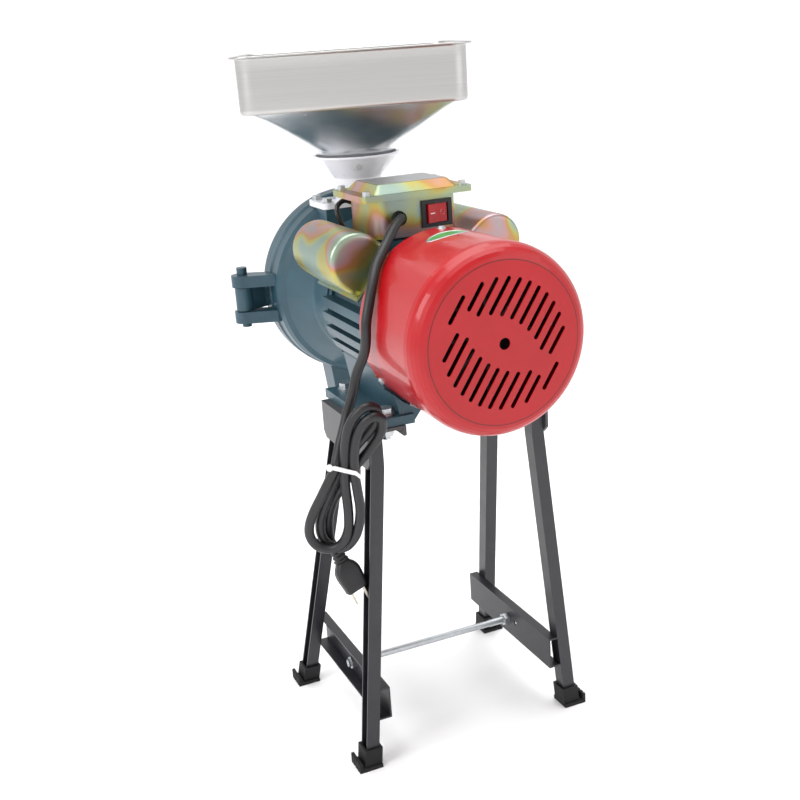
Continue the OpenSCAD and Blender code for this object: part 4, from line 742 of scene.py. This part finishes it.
hopper_mesh = bmesh.new()
inner_rim = (HOPPER_W / 2 - HOPPER_SHEET, HOPPER_CORNER - HOPPER_SHEET, hopper_h - 2.4)
skin_rings(hopper_mesh, [hopper_ring(*level) for level in cone + wall[:1]], closed_ends=False, finish=1)
skin_rings(hopper_mesh, [hopper_ring(*level) for level in wall + [rim] + bead + [inner_rim] + inner(wall[1:])],
           closed_ends=False)
skin_rings(hopper_mesh, [hopper_ring(*level) for level in inner(wall[:2]) + inner(cone)[:-1]
                         + [(SPIGOT_R - HOPPER_SHEET, SPIGOT_R - HOPPER_SHEET, SPIGOT_FOOT),
                            (SPIGOT_R, SPIGOT_R, SPIGOT_FOOT)]], closed_ends=False, finish=1)
bmesh.ops.remove_doubles(hopper_mesh, verts=hopper_mesh.verts, dist=0.02 * MM)
bmesh.ops.recalc_face_normals(hopper_mesh, faces=hopper_mesh.faces)
hopper = new_piece("stainless_hopper", hopper_mesh, "machine", "stainless_sheet", satin_stainless(),
                   polished_stainless())
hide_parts("hopper")


# ---- Studio ------------------------------------------------------------------
# A pale matt floor, one large soft light overhead, a broad key on the left of
# the camera and a weaker fill on its right, in an even white surround.
def pale_floor():
    """Matt studio floor: near white with the faintest mottling."""
    material, tree, shader, where = new_finish("pale_studio_floor", {"IOR": 1.45, "Specular IOR Level": 0.2})
    vary_surface(tree, shader, where, ("#fafafb", "#fdfdfd"), 900, (0.7, 0.8), 30, 0.02)
    return material


floor_mesh = bmesh.new()
bmesh.ops.create_circle(floor_mesh, cap_ends=True, segments=96, radius=30)
floor_data = bpy.data.meshes.new("studio_floor")
floor_mesh.to_mesh(floor_data)
floor_mesh.free()
floor_data.materials.append(pale_floor())
studio_floor = bpy.data.objects.new("studio_floor", floor_data)
bpy.context.collection.objects.link(studio_floor)

subject = Vector((0, 0, 0.4))


def soft_light(name, left, back, up, size, watts):
    """A square soft box that faces the machine, placed by metres left of it, behind it and above it."""
    data = bpy.data.lights.new(name, "AREA")
    data.shape = "SQUARE"
    data.size = size
    data.energy = watts
    lamp = bpy.data.objects.new(name, data)
    level_back = Vector((towards_camera.x, towards_camera.y, 0)).normalized()
    lamp.location = subject - level_right * left + level_back * back + Vector((0, 0, up))
    lamp.rotation_euler = (lamp.location - subject).to_track_quat("Z", "Y").to_euler()
    bpy.context.collection.objects.link(lamp)


soft_light("overhead", 0.2, 0.2, 2.4, 2.2, 26)
soft_light("key", 1.7, 1.3, 1.3, 1.2, 30)
soft_light("fill", -2.0, 1.0, 0.9, 1.6, 9)
sky = bpy.data.lights.new("white_ceiling", "SUN")
sky.energy = 1.9
sky.angle = math.radians(60)
ceiling = bpy.data.objects.new("white_ceiling", sky)
ceiling.rotation_euler = (math.radians(14), math.radians(-10), 0)
bpy.context.collection.objects.link(ceiling)

# The surround is white at the horizon and dims overhead, so that bright metal has something to show.
world = bpy.data.worlds.new("white_surround")
bpy.context.scene.world = world
world.use_nodes = True
tree = world.node_tree
aim = add_node(tree, "TexCoord").outputs["Generated"]
upwards = add_node(tree, "SeparateXYZ", {"Vector": aim}).outputs["Z"]
dimming = add_node(tree, "MapRange", {"Value": upwards, "From Min": 0.12, "From Max": 0.8, "To Min": 1.08,
                                      "To Max": 0.42}).outputs["Result"]
tree.links.new(dimming, tree.nodes["Background"].inputs["Strength"])
tree.nodes["Background"].inputs["Color"].default_value = srgb("#ffffff")
bpy.context.scene.view_settings.view_transform = "Standard"
